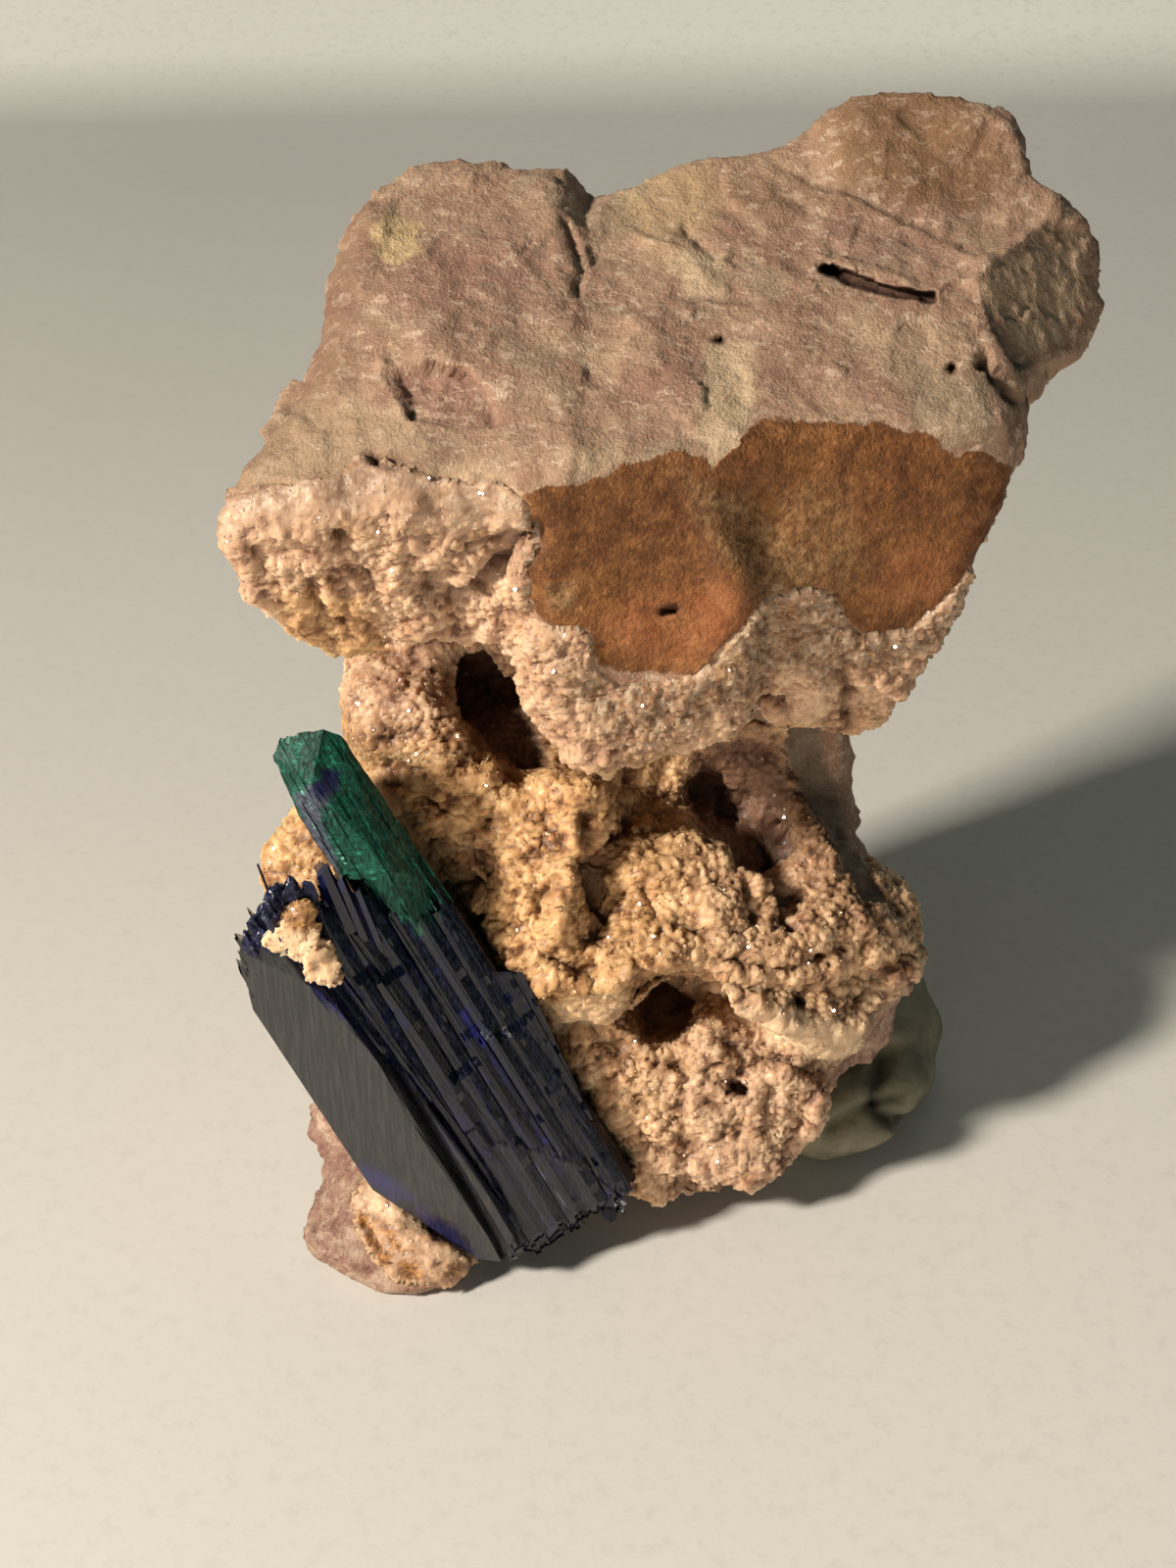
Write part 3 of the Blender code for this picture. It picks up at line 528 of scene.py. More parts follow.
def crystals(name, pts, nor, size, seed, spread=0.9, long=(1.0, 1.7), sink=0.25, sides=6):
    """Joined small six-sided crystals with pointed ends, standing on the surface at all angles."""
    rng = np.random.default_rng(seed)
    n = len(pts)
    ax = unit(nor + spread * rng.normal(size=(n, 3)) * 0.6)
    h = unit(np.cross(ax, rng.normal(size=(n, 3))))
    k = np.cross(ax, h)
    r = size * rng.uniform(0.75, 1.3, n)
    l = r * rng.uniform(*long, n)
    V, F = [], []
    ang = np.arange(sides) * 2 * math.pi / sides
    ring = np.cos(ang)[None, :, None] * h[:, None] + np.sin(ang)[None, :, None] * k[:, None]
    centre = pts - nor * (sink * l)[:, None]
    lift = rng.uniform(-0.12, 0.25, n)
    verts = np.concatenate([(centre + ax * l[:, None])[:, None], (centre - ax * (0.7 * l)[:, None])[:, None],
                            centre[:, None] + ring * r[:, None, None] + (ax * (l * lift)[:, None])[:, None]], 1)
    verts = verts.reshape(-1, 3)
    base = np.arange(n) * (sides + 2)
    for i in range(sides):
        j = (i + 1) % sides
        F.append(np.stack([base, base + 2 + i, base + 2 + j], 1))
        F.append(np.stack([base + 1, base + 2 + j, base + 2 + i], 1))
    faces = np.concatenate(F).tolist()
    ob = new_object(name, verts, faces, False)
    return ob, sides + 2


def per_grain(values, each):
    return np.repeat(values, each)


# ---- rock -----------------------------------------------------------------------------------------
# outlines on the sheet
CAP_DRUSE = [(205, 515), (250, 500), (285, 492), (330, 484), (372, 470), (415, 470), (440, 484), (480, 492), (520, 498),
             (545, 520), (552, 548), (538, 572), (540, 636), (585, 640), (606, 655), (612, 690), (635, 705), (690, 695), (730, 655),
             (786, 602), (836, 596), (868, 636), (915, 640), (948, 618), (985, 580), (1010, 600), (960, 700), (880, 790), (620, 830), (520, 760),
             (420, 690), (300, 690), (215, 630)]
STAIN_LEFT = [(532, 510), (560, 498), (600, 490), (650, 474), (690, 456), (716, 468), (745, 500), (772, 520), (790, 560), (786, 600),
              (752, 655), (706, 690), (640, 690), (612, 680), (600, 650), (570, 645), (545, 628), (538, 580), (548, 548)]
STAIN_RIGHT = [(716, 486), (745, 462), (770, 433), (800, 427), (850, 431), (905, 430), (955, 446), (975, 466), (1005, 462), (1032, 478),
               (1030, 505), (1002, 550), (985, 582), (962, 606), (930, 642), (880, 650), (846, 605), (800, 600), (770, 560), (750, 505)]
# faces broken flat: (outline on the sheet, three corners as column, row and millimetres moved away from the eye, how flat, softness of the border)
FACETS = [
    ([(532, 512), (600, 489), (692, 457), (706, 482), (722, 520), (730, 600), (724, 650), (690, 700), (640, 700), (560, 640)],
     ((560, 515, 0.1), (690, 475, 0.1), (640, 680, 0.3)), 0.6, 24.0),
    ([(790, 505), (790, 462), (800, 432), (905, 430), (955, 446), (1005, 462), (1034, 478), (1002, 552), (962, 608), (930, 645), (840, 645), (800, 600)],
     ((775, 450, 0.0), (1010, 485, 0.3), (890, 630, 0.1)), 0.6, 24.0),
    ([(988, 286), (1048, 246), (1074, 224), (1140, 240), (1135, 300), (1100, 375), (1040, 372), (1010, 318)],
     ((1002, 290, -0.1), (1062, 245, 0.5), (1052, 360, 0.4)), 0.9),
    ([(760, 160), (830, 125), (900, 85), (960, 80), (1000, 110), (1075, 195), (1066, 222), (1000, 262), (860, 196)],
     ((800, 165, 0.2), (1050, 205, 0.4), (950, 110, -0.2)), 0.3),
    ([(295, 420), (318, 350), (333, 290), (343, 240), (362, 198), (384, 206), (370, 300), (352, 380), (330, 440)],
     ((326, 400, 0.3), (366, 225, 0.3), (360, 330, -0.2)), 0.6),
    ([(397, 378), (440, 368), (478, 378), (505, 434), (470, 440), (424, 424)],
     ((415, 395, 0.8), (480, 395, 0.7), (470, 430, 0.2)), 0.9),
    ([(572, 172), (590, 158), (614, 194), (604, 232), (582, 222)],
     ((580, 184, 0.0), (604, 200, 1.4), (586, 220, 0.2)), 0.9),
    ([(372, 300), (405, 200), (560, 185), (575, 225), (520, 290), (430, 330)],
     ((390, 300, 0.0), (430, 205, 0.1), (560, 215, 0.0)), 0.5),
    ([(330, 440), (372, 330), (430, 340), (400, 378), (424, 430), (420, 468), (340, 484)],
     ((345, 440, 0.1), (385, 345, 0.0), (415, 460, 0.0)), 0.6),
    ([(620, 215), (745, 205), (830, 270), (800, 330), (690, 340), (610, 300)],
     ((630, 225, 0.1), (810, 270, 0.0), (640, 320, 0.1)), 0.5),
    ([(860, 330), (990, 320), (1032, 400), (1028, 450), (905, 425), (840, 400)],
     ((870, 340, 0.0), (1010, 380, 0.2), (920, 420, 0.0)), 0.6),
    ([(830, 900), (885, 880), (940, 925), (925, 1010), (860, 985), (830, 940)],
     ((840, 905, 0.1), (925, 940, 0.1), (880, 985, 0.0)), 0.4),
    ([(726, 1004), (765, 1018), (800, 1026), (845, 1056), (880, 1048), (908, 1000), (880, 985), (840, 1002), (790, 1000), (745, 990)],
     ((755, 1000, 0.8), (880, 1000, 0.8), (812, 1050, -0.7)), 0.75),
    ([(318, 1262), (332, 1224), (362, 1196), (378, 1204), (384, 1240), (360, 1276), (330, 1284)],
     ((330, 1262, 0.2), (366, 1210, 0.3), (366, 1262, 0.1)), 0.95, 2.5),
    ([(310, 1272), (332, 1286), (362, 1280), (392, 1300), (392, 1336), (352, 1330), (318, 1300)],
     ((322, 1288, 0.1), (384, 1302, -0.1), (366, 1326, 0.6)), 0.95, 2.5),
    ([(394, 1302), (440, 1316), (486, 1300), (484, 1318), (440, 1336), (398, 1336)],
     ((402, 1310, 0.0), (474, 1306, 0.1), (430, 1330, 0.6)), 0.9, 2.5),
    ([(536, 1004), (600, 1008), (640, 1000), (632, 1030), (590, 1050), (556, 1050)],
     ((545, 1006, 0.6), (625, 1006, 0.6), (585, 1046, -0.5)), 0.75),
]
# sculpted marks: (line on the sheet, radius, millimetres in or out, where)
MARKS = [
    ([(843, 276), (872, 286), (905, 297), (950, 303)], 6.0, -1.6, "slot"),
    ([(835, 262), (880, 274), (930, 288)], 6.0, 0.15, "cap"),
    ([(576, 226), (588, 252), (593, 275), (589, 300)], 3.0, -0.34, "cap"),
    ([(556, 215), (570, 250), (574, 290)], 15.0, 0.20, "cap"),
    ([(394, 380), (405, 400), (422, 424)], 3.6, -0.5, "cap"),
    ([(390, 372), (402, 392), (414, 414)], 6.0, 0.35, "cap"),
    ([(440, 372), (482, 392), (493, 402), (503, 430)], 3.2, -0.45, "cap"),
    ([(736, 346)], 4.5, -0.6, "slot"),
    ([(971, 375)], 5.0, -0.9, "slot"),
    ([(1006, 364), (1022, 384), (1030, 402)], 7.0, -0.8, "cap"),
    ([(690, 301), (770, 305)], 4.0, -0.25, "cap"),
    ([(655, 248), (700, 258), (722, 285)], 12.0, 0.25, "cap"),
    ([(700, 236), (730, 262)], 5.0, -0.25, "cap"),
    ([(790, 165), (815, 178), (850, 196)], 4.0, -0.08, "cap"),
    ([(678, 622), (688, 620)], 5.0, -0.8, "slot"),
    ([(573, 607)], 8.0, -0.3, "cap"),
    ([(380, 466), (410, 472)], 8.0, -0.6, "cap"),
    ([(345, 545), (352, 552)], 6.0, -0.8, "cap"),
    ([(438, 602), (480, 604), (518, 566), (545, 552)], 12.0, -1.1, "cap"),
    ([(480, 560), (520, 548)], 8.0, -0.6, "cap"),
    ([(365, 580), (378, 596)], 8.0, -0.8, "cap"),
    ([(318, 598), (322, 615)], 7.0, -0.7, "cap"),
    ([(262, 560), (270, 585)], 6.0, -0.5, "cap"),
    ([(290, 540), (320, 560), (330, 590)], 13.0, 0.35, "cap"),
    ([(420, 520), (400, 560), (405, 590)], 14.0, 0.35, "cap"),
    ([(860, 680), (870, 735)], 9.0, -0.8, "cap"),
    ([(825, 685), (835, 700)], 9.0, 0.5, "cap"),
    ([(861, 742)], 12.0, 0.6, "cap"),
    ([(905, 690), (915, 705)], 10.0, 0.45, "cap"),
    ([(780, 700), (800, 722)], 8.0, -0.5, "cap"),
    ([(545, 655), (560, 695), (590, 740)], 10.0, 0.4, "cap"),
    ([(590, 770), (620, 778)], 14.0, 0.4, "cap"),
    ([(498, 640), (518, 665), (540, 715)], 9.0, 0.3, "cap"),
    ([(300, 625), (330, 640), (360, 652)], 10.0, 0.5, "cap"),
    ([(240, 590), (262, 606)], 10.0, 0.5, "cap"),
    ([(410, 640), (450, 634), (480, 646)], 9.0, 0.4, "cap"),
    # the lower mass
    ([(598, 838), (600, 880), (612, 930), (604, 960)], 11.0, -1.5, "low"),
    ([(642, 838), (630, 858), (616, 884)], 9.0, -1.0, "low"),
    ([(722, 800), (745, 820), (770, 842), (790, 862)], 22.0, -2.9, "low"),
    ([(752, 868), (772, 880)], 10.0, -0.9, "low"),
    ([(445, 868), (470, 866), (500, 880), (492, 905), (470, 900)], 13.0, -1.1, "low"),
    ([(792, 868), (800, 900), (808, 945)], 9.0, -1.4, "low"),
    ([(760, 905), (770, 940)], 7.0, -0.5, "low"),
    ([(676, 1028), (700, 1008)], 25.0, -1.0, "low"),
    ([(668, 1020), (676, 1036)], 34.0, -2.4, "slot"),
    ([(735, 1058), (780, 1078), (830, 1096)], 9.0, -0.5, "low"),
    ([(812, 1022)], 8.5, -1.3, "slot"),
    ([(750, 1108), (756, 1112)], 9.0, -1.4, "slot"),
    ([(752, 1152)], 8.0, -0.6, "low"),
    ([(374, 1254), (384, 1276)], 5.0, -0.55, "low"),
    ([(398, 1290), (420, 1304)], 5.0, -0.5, "low"),
    ([(440, 1246), (450, 1262)], 5.0, -0.5, "low"),
    ([(492, 905), (486, 950), (500, 968)], 6.0, -0.6, "low"),
    ([(560, 975), (588, 992), (612, 986)], 7.0, -0.8, "low"),
    ([(742, 978), (790, 990), (838, 976)], 7.0, -0.6, "low"),
    ([(876, 1012), (902, 988), (925, 972)], 7.0, -0.6, "low"),
    ([(545, 1056), (600, 1048), (640, 1078)], 10.0, -0.6, "low"),
    ([(690, 1084), (702, 1102)], 6.0, -0.6, "low"),
    ([(598, 1120), (606, 1150)], 6.0, -0.5, "low"),
    ([(790, 1110), (780, 1150)], 7.0, -0.6, "low"),
    ([(690, 1207), (712, 1217), (728, 1212)], 8.0, -0.8, "low"),
    ([(660, 1170), (700, 1180)], 7.0, -0.5, "low"),
    ([(560, 905), (545, 930)], 6.0, -0.5, "low"),
    ([(430, 800), (450, 830)], 7.0, -0.5, "low"),
    ([(500, 835), (470, 850)], 6.0, -0.4, "low"),
    ([(690, 940), (720, 955)], 6.0, -0.5, "low"),
    ([(655, 905), (668, 930)], 6.0, -0.4, "low"),
    ([(520, 872), (560, 868), (588, 850)], 11.0, 0.55, "low"),
    ([(576, 868), (572, 930), (556, 975)], 12.0, 0.55, "low"),
    ([(482, 984), (534, 1004), (600, 1010), (657, 984), (703, 974), (722, 1004), (755, 1023), (794, 1036), (846, 1069), (879, 1049)], 10.0, 0.50, "low"),
    ([(650, 880), (700, 900), (740, 930)], 20.0, 0.4, "low"),
    ([(860, 930), (900, 960), (915, 1000)], 16.0, 0.45, "low"),
    ([(480, 792), (540, 802), (600, 812)], 13.0, 0.5, "low"),
    ([(440, 752), (455, 800), (440, 842)], 11.0, 0.35, "low"),
    ([(384, 720), (380, 748)], 13.0, 0.6, "low"),
    ([(620, 1118)], 13.0, 0.5, "low"),
    ([(664, 1142), (672, 1160)], 13.0, 0.5, "low"),
    ([(715, 1128)], 11.0, 0.4, "low"),
    ([(800, 1096), (832, 1106), (828, 1142)], 10.0, 0.6, "low"),
    ([(765, 1200), (790, 1190)], 10.0, 0.5, "low"),
    ([(650, 1212), (668, 1222)], 9.0, 0.4, "low"),
    ([(715, 1196)], 9.0, 0.4, "low"),
    ([(860, 950), (850, 985)], 9.0, 0.3, "low"),
]
TINTS = {
    "cream_and_painted_light": [([(722, 352), (765, 345), (772, 400), (762, 440), (742, 478), (722, 470), (712, 420)], 7, 0.9),
              ([(668, 268), (700, 252), (742, 262), (745, 300), (700, 300)], 7, 0.85),
              ([(262, 468), (300, 420), (350, 400), (420, 420), (440, 455), (380, 470), (340, 490), (240, 515)], 16, 0.7),
              ([(560, 462), (620, 458), (680, 470), (600, 482)], 7, 0.5),
              ([(850, 325), (950, 320), (1000, 350), (960, 400), (880, 370)], 20, 0.45),
              # painted light: the shaded facet of the right-hand spur made paler
              ([(1000, 292), (1050, 250), (1100, 245), (1110, 300), (1085, 350), (1045, 362)], 8, 0.5),
              ([(430, 480), (470, 470), (530, 490), (500, 500)], 8, 0.5)],
    # painted shade: the cap's left edge, the crust beside it, the far corner and the left stain
    "painted_shade": [([(205, 520), (300, 400), (330, 270), (350, 180), (388, 190), (372, 300), (360, 400), (300, 470)], 14, 0.62),
            ([(280, 420), (390, 420), (470, 470), (420, 500), (300, 500), (230, 520)], 14, 0.45),
            ([(850, 110), (900, 80), (990, 85), (1040, 180), (990, 225), (870, 200)], 16, 0.62),
            ([(530, 500), (700, 450), (752, 520), (745, 600), (700, 570), (620, 560), (545, 600)], 16, 0.25)],
    "tan": [([(830, 130), (900, 85), (980, 85), (1030, 170), (980, 215), (860, 190)], 14, 1.0),
            ([(700, 170), (760, 165), (860, 200), (800, 230), (700, 210)], 18, 0.4)],
    "ochre": [([(378, 232), (400, 218), (428, 228), (430, 255), (402, 268), (380, 256)], 5, 0.9),
              ([(640, 180), (720, 165), (730, 230), (660, 260), (630, 230)], 18, 0.45)],
    "mauve": [([(380, 270), (520, 220), (570, 260), (540, 350), (420, 340)], 25, 0.5),
              ([(760, 210), (960, 200), (990, 260), (960, 300), (800, 260)], 25, 0.4),
              ([(400, 380), (480, 380), (505, 434), (430, 425)], 5, 0.8)],
    "green": [([(655, 455), (700, 445), (715, 480), (690, 500), (650, 490)], 10, 0.6),
              ([(930, 380), (1000, 385), (1020, 440), (1000, 462), (930, 430)], 16, 0.6),
              ([(590, 205), (660, 190), (640, 250), (600, 250)], 14, 0.4)],
    "glow": [([(600, 640), (680, 600), (740, 590), (770, 625), (740, 655), (690, 680), (630, 670)], 20, 0.75),
             ([(900, 560), (990, 540), (960, 605), (900, 620)], 16, 0.5)],
    "drab": [([(690, 480), (745, 500), (800, 530), (850, 600), (800, 600), (770, 600), (720, 540)], 12, 0.75),
             ([(780, 500), (860, 500), (880, 590), (830, 620)], 20, 0.5),
             ([(560, 590), (588, 590), (590, 620), (562, 624)], 4, 0.8)],
}


def paint(P, N):
    """Where each kind of surface lies, 0 to 1 at every point."""
    U, W = sheet(P)
    facing = (N * unit(EYE - P)).sum(1)
    w1, w2 = 8.0 * fbm(P, 0.30, 3, 1.0) + 5.0 * fbm(P, 1.1, 3, 2.0), 8.0 * fbm(P, 0.30, 3, 5.0) + 5.0 * fbm(P, 1.1, 3, 6.0)
    Uw, Ww = U + w1, W + w2
    m = {}
    front = smooth(facing, -0.25, 0.10)
    cap = smooth(P[:, 2], 26.3, 28.7)
    cap_druse = area(Uw, Ww, CAP_DRUSE, 5) * front * cap
    under_cap = cap * smooth(N[:, 2], -0.15, -0.5) * smooth(P[:, 1], 21.0, 17.0) * (1 - smooth(facing, -0.5, -0.15) * smooth(U, 850, 900))
    X, Y, Z = P[:, 0] + 0.16 * w1, P[:, 1] + 0.22 * w2, P[:, 2] + 0.16 * (w1 - w2)
    lower = (1 - cap) * smooth(Y, 19.5, 17.0) * smooth(Z, 1.2, 3.0)
    side = area(Uw, Ww, [(792, 742), (836, 728), (850, 800), (872, 870), (905, 925), (880, 920), (846, 850), (815, 800)], 6) * (1 - cap)
    belly = area(Uw, Ww, [(862, 1072), (890, 1040), (925, 1000), (950, 1000), (935, 1080), (880, 1135), (846, 1140), (842, 1100)], 6) * (1 - cap)
    foot = smooth(Z, 6.8, 5.6) * smooth(X, -4.4, -5.6) * smooth(Y, 12.5, 9.5)
    foot_druse = area(Uw, Ww, [(372, 1196), (446, 1236), (500, 1270), (492, 1304), (450, 1315), (402, 1308), (372, 1270), (358, 1234)], 5) * foot * front
    spur = smooth(Z, 2, 3) * smooth(Z, 11.0, 9.0) * smooth(X, -12.0, -13.0) * smooth(Y, 4, 6)
    m["far"] = smooth(facing, 0.10, -0.30)
    stain = np.maximum(area(Uw, Ww, STAIN_LEFT, 9), area(Uw, Ww, STAIN_RIGHT, 9)) * front * smooth(P[:, 2], 29.0, 31.0)
    neck = area(Uw, Ww, [(350, 640), (450, 640), (570, 690), (640, 780), (600, 830), (350, 800)], 6) * smooth(P[:, 2], 38.0, 36.0)
    neck *= smooth(P[:, 1], 10.5, 12.0)
    hollow = area(Uw, Ww, [(600, 730), (800, 738), (815, 800), (846, 850), (880, 920), (820, 960), (700, 900), (620, 860)], 6) * smooth(facing, -0.25, 0.05) * (1 - cap)
    druse = np.clip(np.maximum.reduce([cap_druse, under_cap, neck, hollow * (1 - side), lower * (1 - side) * (1 - belly) * (1 - foot) * (1 - spur), foot_druse]), 0, 1)
    m["druse"] = druse * (1 - smooth(stain, 0.35, 0.65))
    # the crust thins out towards its border on the cap
    to_border, to_stain = seg_dist(Uw, Ww, CAP_DRUSE[:10]), np.minimum(seg_dist(Uw, Ww, STAIN_LEFT, True), seg_dist(Uw, Ww, STAIN_RIGHT, True))
    within = inside(Uw, Ww, CAP_DRUSE)
    bedded = np.where(within, np.minimum(smooth(to_border, 0.0, 95.0), 0.35 + 0.65 * smooth(to_stain, 2.0, 13.0)), 0.0)
    m["thick"] = np.maximum(1 - cap * front * (1 - bedded), neck) * (1 - 0.55 * foot_druse)
    m["stain"] = stain
    for name, parts in TINTS.items():
        m[name] = np.maximum.reduce([area(Uw, Ww, o, s) * w for o, s, w in parts]) * front * cap
    m["rose"] = np.maximum(0.9 * foot * (1 - foot_druse), 0.7 * np.maximum(belly, spur))
    m["pink"] = np.clip(0.85 * cap + 0.5 * area(Uw, Ww, [(640, 1180), (800, 1150), (860, 1090), (930, 960), (960, 1000), (860, 1180), (700, 1240)], 15), 0, 1)
    m["pink"] *= 1 - 0.85 * area(Uw, Ww, [(285, 600), (372, 604), (395, 668), (330, 672), (296, 645)], 9)
    m["pale"] = np.clip((1 - cap) * (smooth(U, 640, 760) * 0.65 + smooth(W, 1000, 1110) * 0.6) + 0.5 * foot_druse, 0, 1)
    bands = sum(k * np.exp(-(seg_dist(U + 0.5 * w1, W + 0.5 * w2, line) / r) ** 2) for line, r, k in (([(372, 1246), (388, 1278), (424, 1302)], 7.0, 1.2), ([(392, 1250), (406, 1272), (420, 1288)], 6.0, 0.8),
                                                                                    ([(438, 1246), (450, 1268)], 6.0, 1.0), ([(456, 1296), (480, 1292)], 8.0, 1.0)))
    m["rust"] = np.clip(1.3 * foot_druse * bands * smooth(fbm(P, 1.6, 2, 21.0), -0.45, 0.0) + 0.35 * m["druse"] * smooth(fbm(P, 0.55, 2, 22.0), 0.36, 0.56), 0, 1)
    # painted shade on the right-hand flank
    m["wall"] = side * 0.8
    # painted shade: the foot, the neck under the cap's overhang and the recess by the right-hand flank
    m["painted_shade"] = np.clip(m["painted_shade"] + (0.42 - 0.30 * foot_druse) * foot + 0.95 * neck * smooth(W, 830, 690) * (1 - cap) + 0.8 * area(U, W, [(800, 780), (850, 790), (905, 915), (880, 960), (820, 900)], 16) * (1 - cap), 0, 1)
    m["rim"] = area(Uw, Ww, [(560, 640), (612, 690), (700, 700), (740, 660), (790, 600), (850, 600), (890, 632), (940, 622), (985, 590), (990, 640), (940, 672), (860, 680), (800, 680), (700, 745),
                             (640, 770), (610, 740), (575, 690)], 10) * cap * front
    # smoother, paler druse: painted light on the up-facing lip and ledge, and paler patches on the foot
    m["calm"] = np.clip(0.75 * area(Uw, Ww, [(735, 1008), (800, 1035), (880, 1045), (900, 1000), (880, 1060), (850, 1085), (790, 1066), (745, 1045)], 8)
                        + 0.55 * area(Uw, Ww, [(545, 1030), (620, 1000), (645, 1020), (600, 1050), (560, 1056)], 6)
                        + 0.75 * foot_druse * area(U, W, [(440, 1256), (470, 1262), (488, 1276), (482, 1288), (450, 1284)], 4) + 0.45 * foot_druse * area(U, W, [(378, 1206), (440, 1238), (436, 1262), (400, 1246), (376, 1232)], 7), 0, 1) * (1 - m["rust"])
    return m, U, W, facing, cap


def write_masks(ob, m, **more):
    for name, v in {**m, **more}.items():
        attribute(ob, name, v)


rock = from_node("rock_skin", "matrix", 0.42, 2, 0.5)
P, N = points_of(rock), normals_of(rock)
m, U, W, facing, cap = paint(P, N)
# finer where the bare cap can be seen
fine = (facing > -0.3) & ((cap > 0.5) & (m["druse"] < 0.8) | (m["rose"] > 0.3))
me = rock.data
chosen = np.array([fine[list(p.vertices)].all() for p in me.polygons])
bm = bmesh.new()
bm.from_mesh(me)
bm.faces.ensure_lookup_table()
edges = list({e for i in np.nonzero(chosen)[0] for e in bm.faces[i].edges})
bmesh.ops.subdivide_edges(bm, edges=edges, cuts=1, use_grid_fill=True)
bm.to_mesh(me)
bm.free()
P, N = points_of(rock), normals_of(rock)
U, W = sheet(P)
facing = (N * unit(EYE - P)).sum(1)
cap = smooth(P[:, 2], 26.3, 28.7)

tree = BVHTree.FromPolygons([tuple(p) for p in P], [tuple(p.vertices) for p in me.polygons])


def hit(column, row, away=0.0):
    ray = unit(AHEAD * FOCAL + RIGHT * (column - 600.0) + UP * (800.0 - row))
    found = tree.ray_cast(Vector(EYE), Vector(ray))[0]
    return None if found is None else np.array(found) + ray * away


for outline, corners, flat, *soft in FACETS:
    h = [hit(*c) for c in corners]
    if any(c is None for c in h):
        print("facet off the rock", corners)
        continue
    n = unit(np.cross(h[1] - h[0], h[2] - h[0]))
    if n @ (EYE - h[0]) < 0:
        n = -n
    w = area(U, W, outline, soft[0] if soft else 4.0) * smooth(facing, -0.35, -0.05) * flat
    P = P - n * (np.clip((P - h[0]) @ n, -1.3, 1.3) * w)[:, None]



def marks(P, N, U, W, facing, cap):
    """How far the sculpted marks move each point, how far into a pit it lies (a mask that later paints shade into the
    pits), and how squarely it faces the display side.
    """
    a1, a2, k = 7.0 * fbm(P, 0.75, 3, 1.0), 7.0 * fbm(P, 0.75, 3, 5.0), 1.0 + 0.8 * fbm(P, 0.6, 2, 7.5)
    seen = smooth(facing, -0.15, 0.2)
    low = (1 - cap) * np.maximum(smooth(P[:, 1], 19.5, 15.5), seen) * seen
    push, back, pit = np.zeros(len(P)), np.zeros(len(P)), np.zeros(len(P))
    for pts, radius, depth, where in MARKS:
        loose = 0.25 if radius < 6.5 or where == "slot" else 1.0
        d = seg_dist(U + loose * a1, W + loose * a2, pts)
        if where == "slot":
            w = (1 - smooth(d, 0.45 * radius, 1.15 * radius)) * seen
            back = np.minimum(back, depth * w)
            pit = np.maximum(pit, (1 - smooth(d, 0.9 * radius, 1.35 * radius)) * seen if radius < 20 else 0.72 * w)
            continue
        w = np.exp(-(d / radius) ** 2) * (cap * seen if where == "cap" else low)
        w *= 1.0 if radius < 6.5 else np.clip(k, 0.3, 1.6)
        push += depth * w
        if depth < -0.3:
            pit = np.maximum(pit, w * min(1.0, -depth / 1.2))
    return N * push[:, None] + unit(EYE - P) * back[:, None], np.clip(pit, 0, 1), seen


def chips(P, scale, seed):
    """Small tilted planes: every cell of a cellular pattern leans its own way, as in splintered rock."""
    o = Vector((seed, seed * 0.7 + 2.0, seed * 1.9 + 5.0))
    out = np.empty(len(P))
    for i, p in enumerate(P):
        q = Vector(p) * scale + o
        d, c = noise.voronoi(q)
        g = noise.cell_vector(Vector((c[0][0] * 7.3 + 11.0, c[0][1] * 5.1 - 3.0, c[0][2] * 6.7 + 1.0)))
        out[i] = (q - c[0]).dot(g - Vector((0.5, 0.5, 0.5))) + 0.35 * (g[0] - 0.5)
    return out


# finer still round the slot in the cap
chosen = np.array([len(i) and bool((inside(U[i], W[i], [(822, 256), (975, 286), (975, 320), (822, 292)]) & (facing[i] > 0)).any()) for i in ([list(p.vertices) for p in me.polygons])])
set_points(rock, P)
bm = bmesh.new()
bm.from_mesh(me)
bm.faces.ensure_lookup_table()
bmesh.ops.subdivide_edges(bm, edges=list({e for i in np.nonzero(chosen)[0] for e in bm.faces[i].edges}), cuts=1, use_grid_fill=True)
bm.to_mesh(me)
bm.free()
P, N = points_of(rock), normals_of(rock)
U, W = sheet(P)
facing = (N * unit(EYE - P)).sum(1)
cap = smooth(P[:, 2], 26.3, 28.7)
push, pit, seen = marks(P, N, U, W, facing, cap)

# chips on the bare faces
chip, grit = chips(P + 0.35 * np.stack([fbm(P, 0.6, 2, s) for s in (14.0, 15.0, 16.0)], 1), 0.38, 2.0), chips(P, 1.25, 2.5)
f1, f2, f3 = fbm(P, 0.42, 4, 3.0), fbm(P, 1.35, 3, 4.0), fbm(P, 3.0, 2, 4.5)
m, U, W, facing, cap = paint(P, N)
rugged = 1.0 + 1.1 * m["rose"] + 0.9 * (1 - seen)
bare_h = (0.12 * f1 + 0.05 * f2 + 0.04 * f3 + 0.26 * chip + 0.10 * grit) * rugged * (1 - 0.5 * m["stain"])
bare_h = bare_h + 1.3 * chips(P + 1.2 * np.stack([fbm(P, 0.2, 2, s) for s in (64.0, 65.0, 66.0)], 1), 0.14, 5.0) * (1 - seen)
lumps = cells(P, 0.46, 9.0)
lump_h = 0.75 * np.sqrt(np.clip(1 - (lumps[:, 0] / 0.95) ** 2, 0, 1)) - 0.42 + 0.35 * fbm(P, 0.3, 3, 9.5)
lump_h *= (1 - 0.7 * m["calm"])
edge = smooth(m["druse"], 0.15, 0.6)
N0 = N
P = P + N * (edge * lump_h * 0.8)[:, None]
set_points(rock, P)


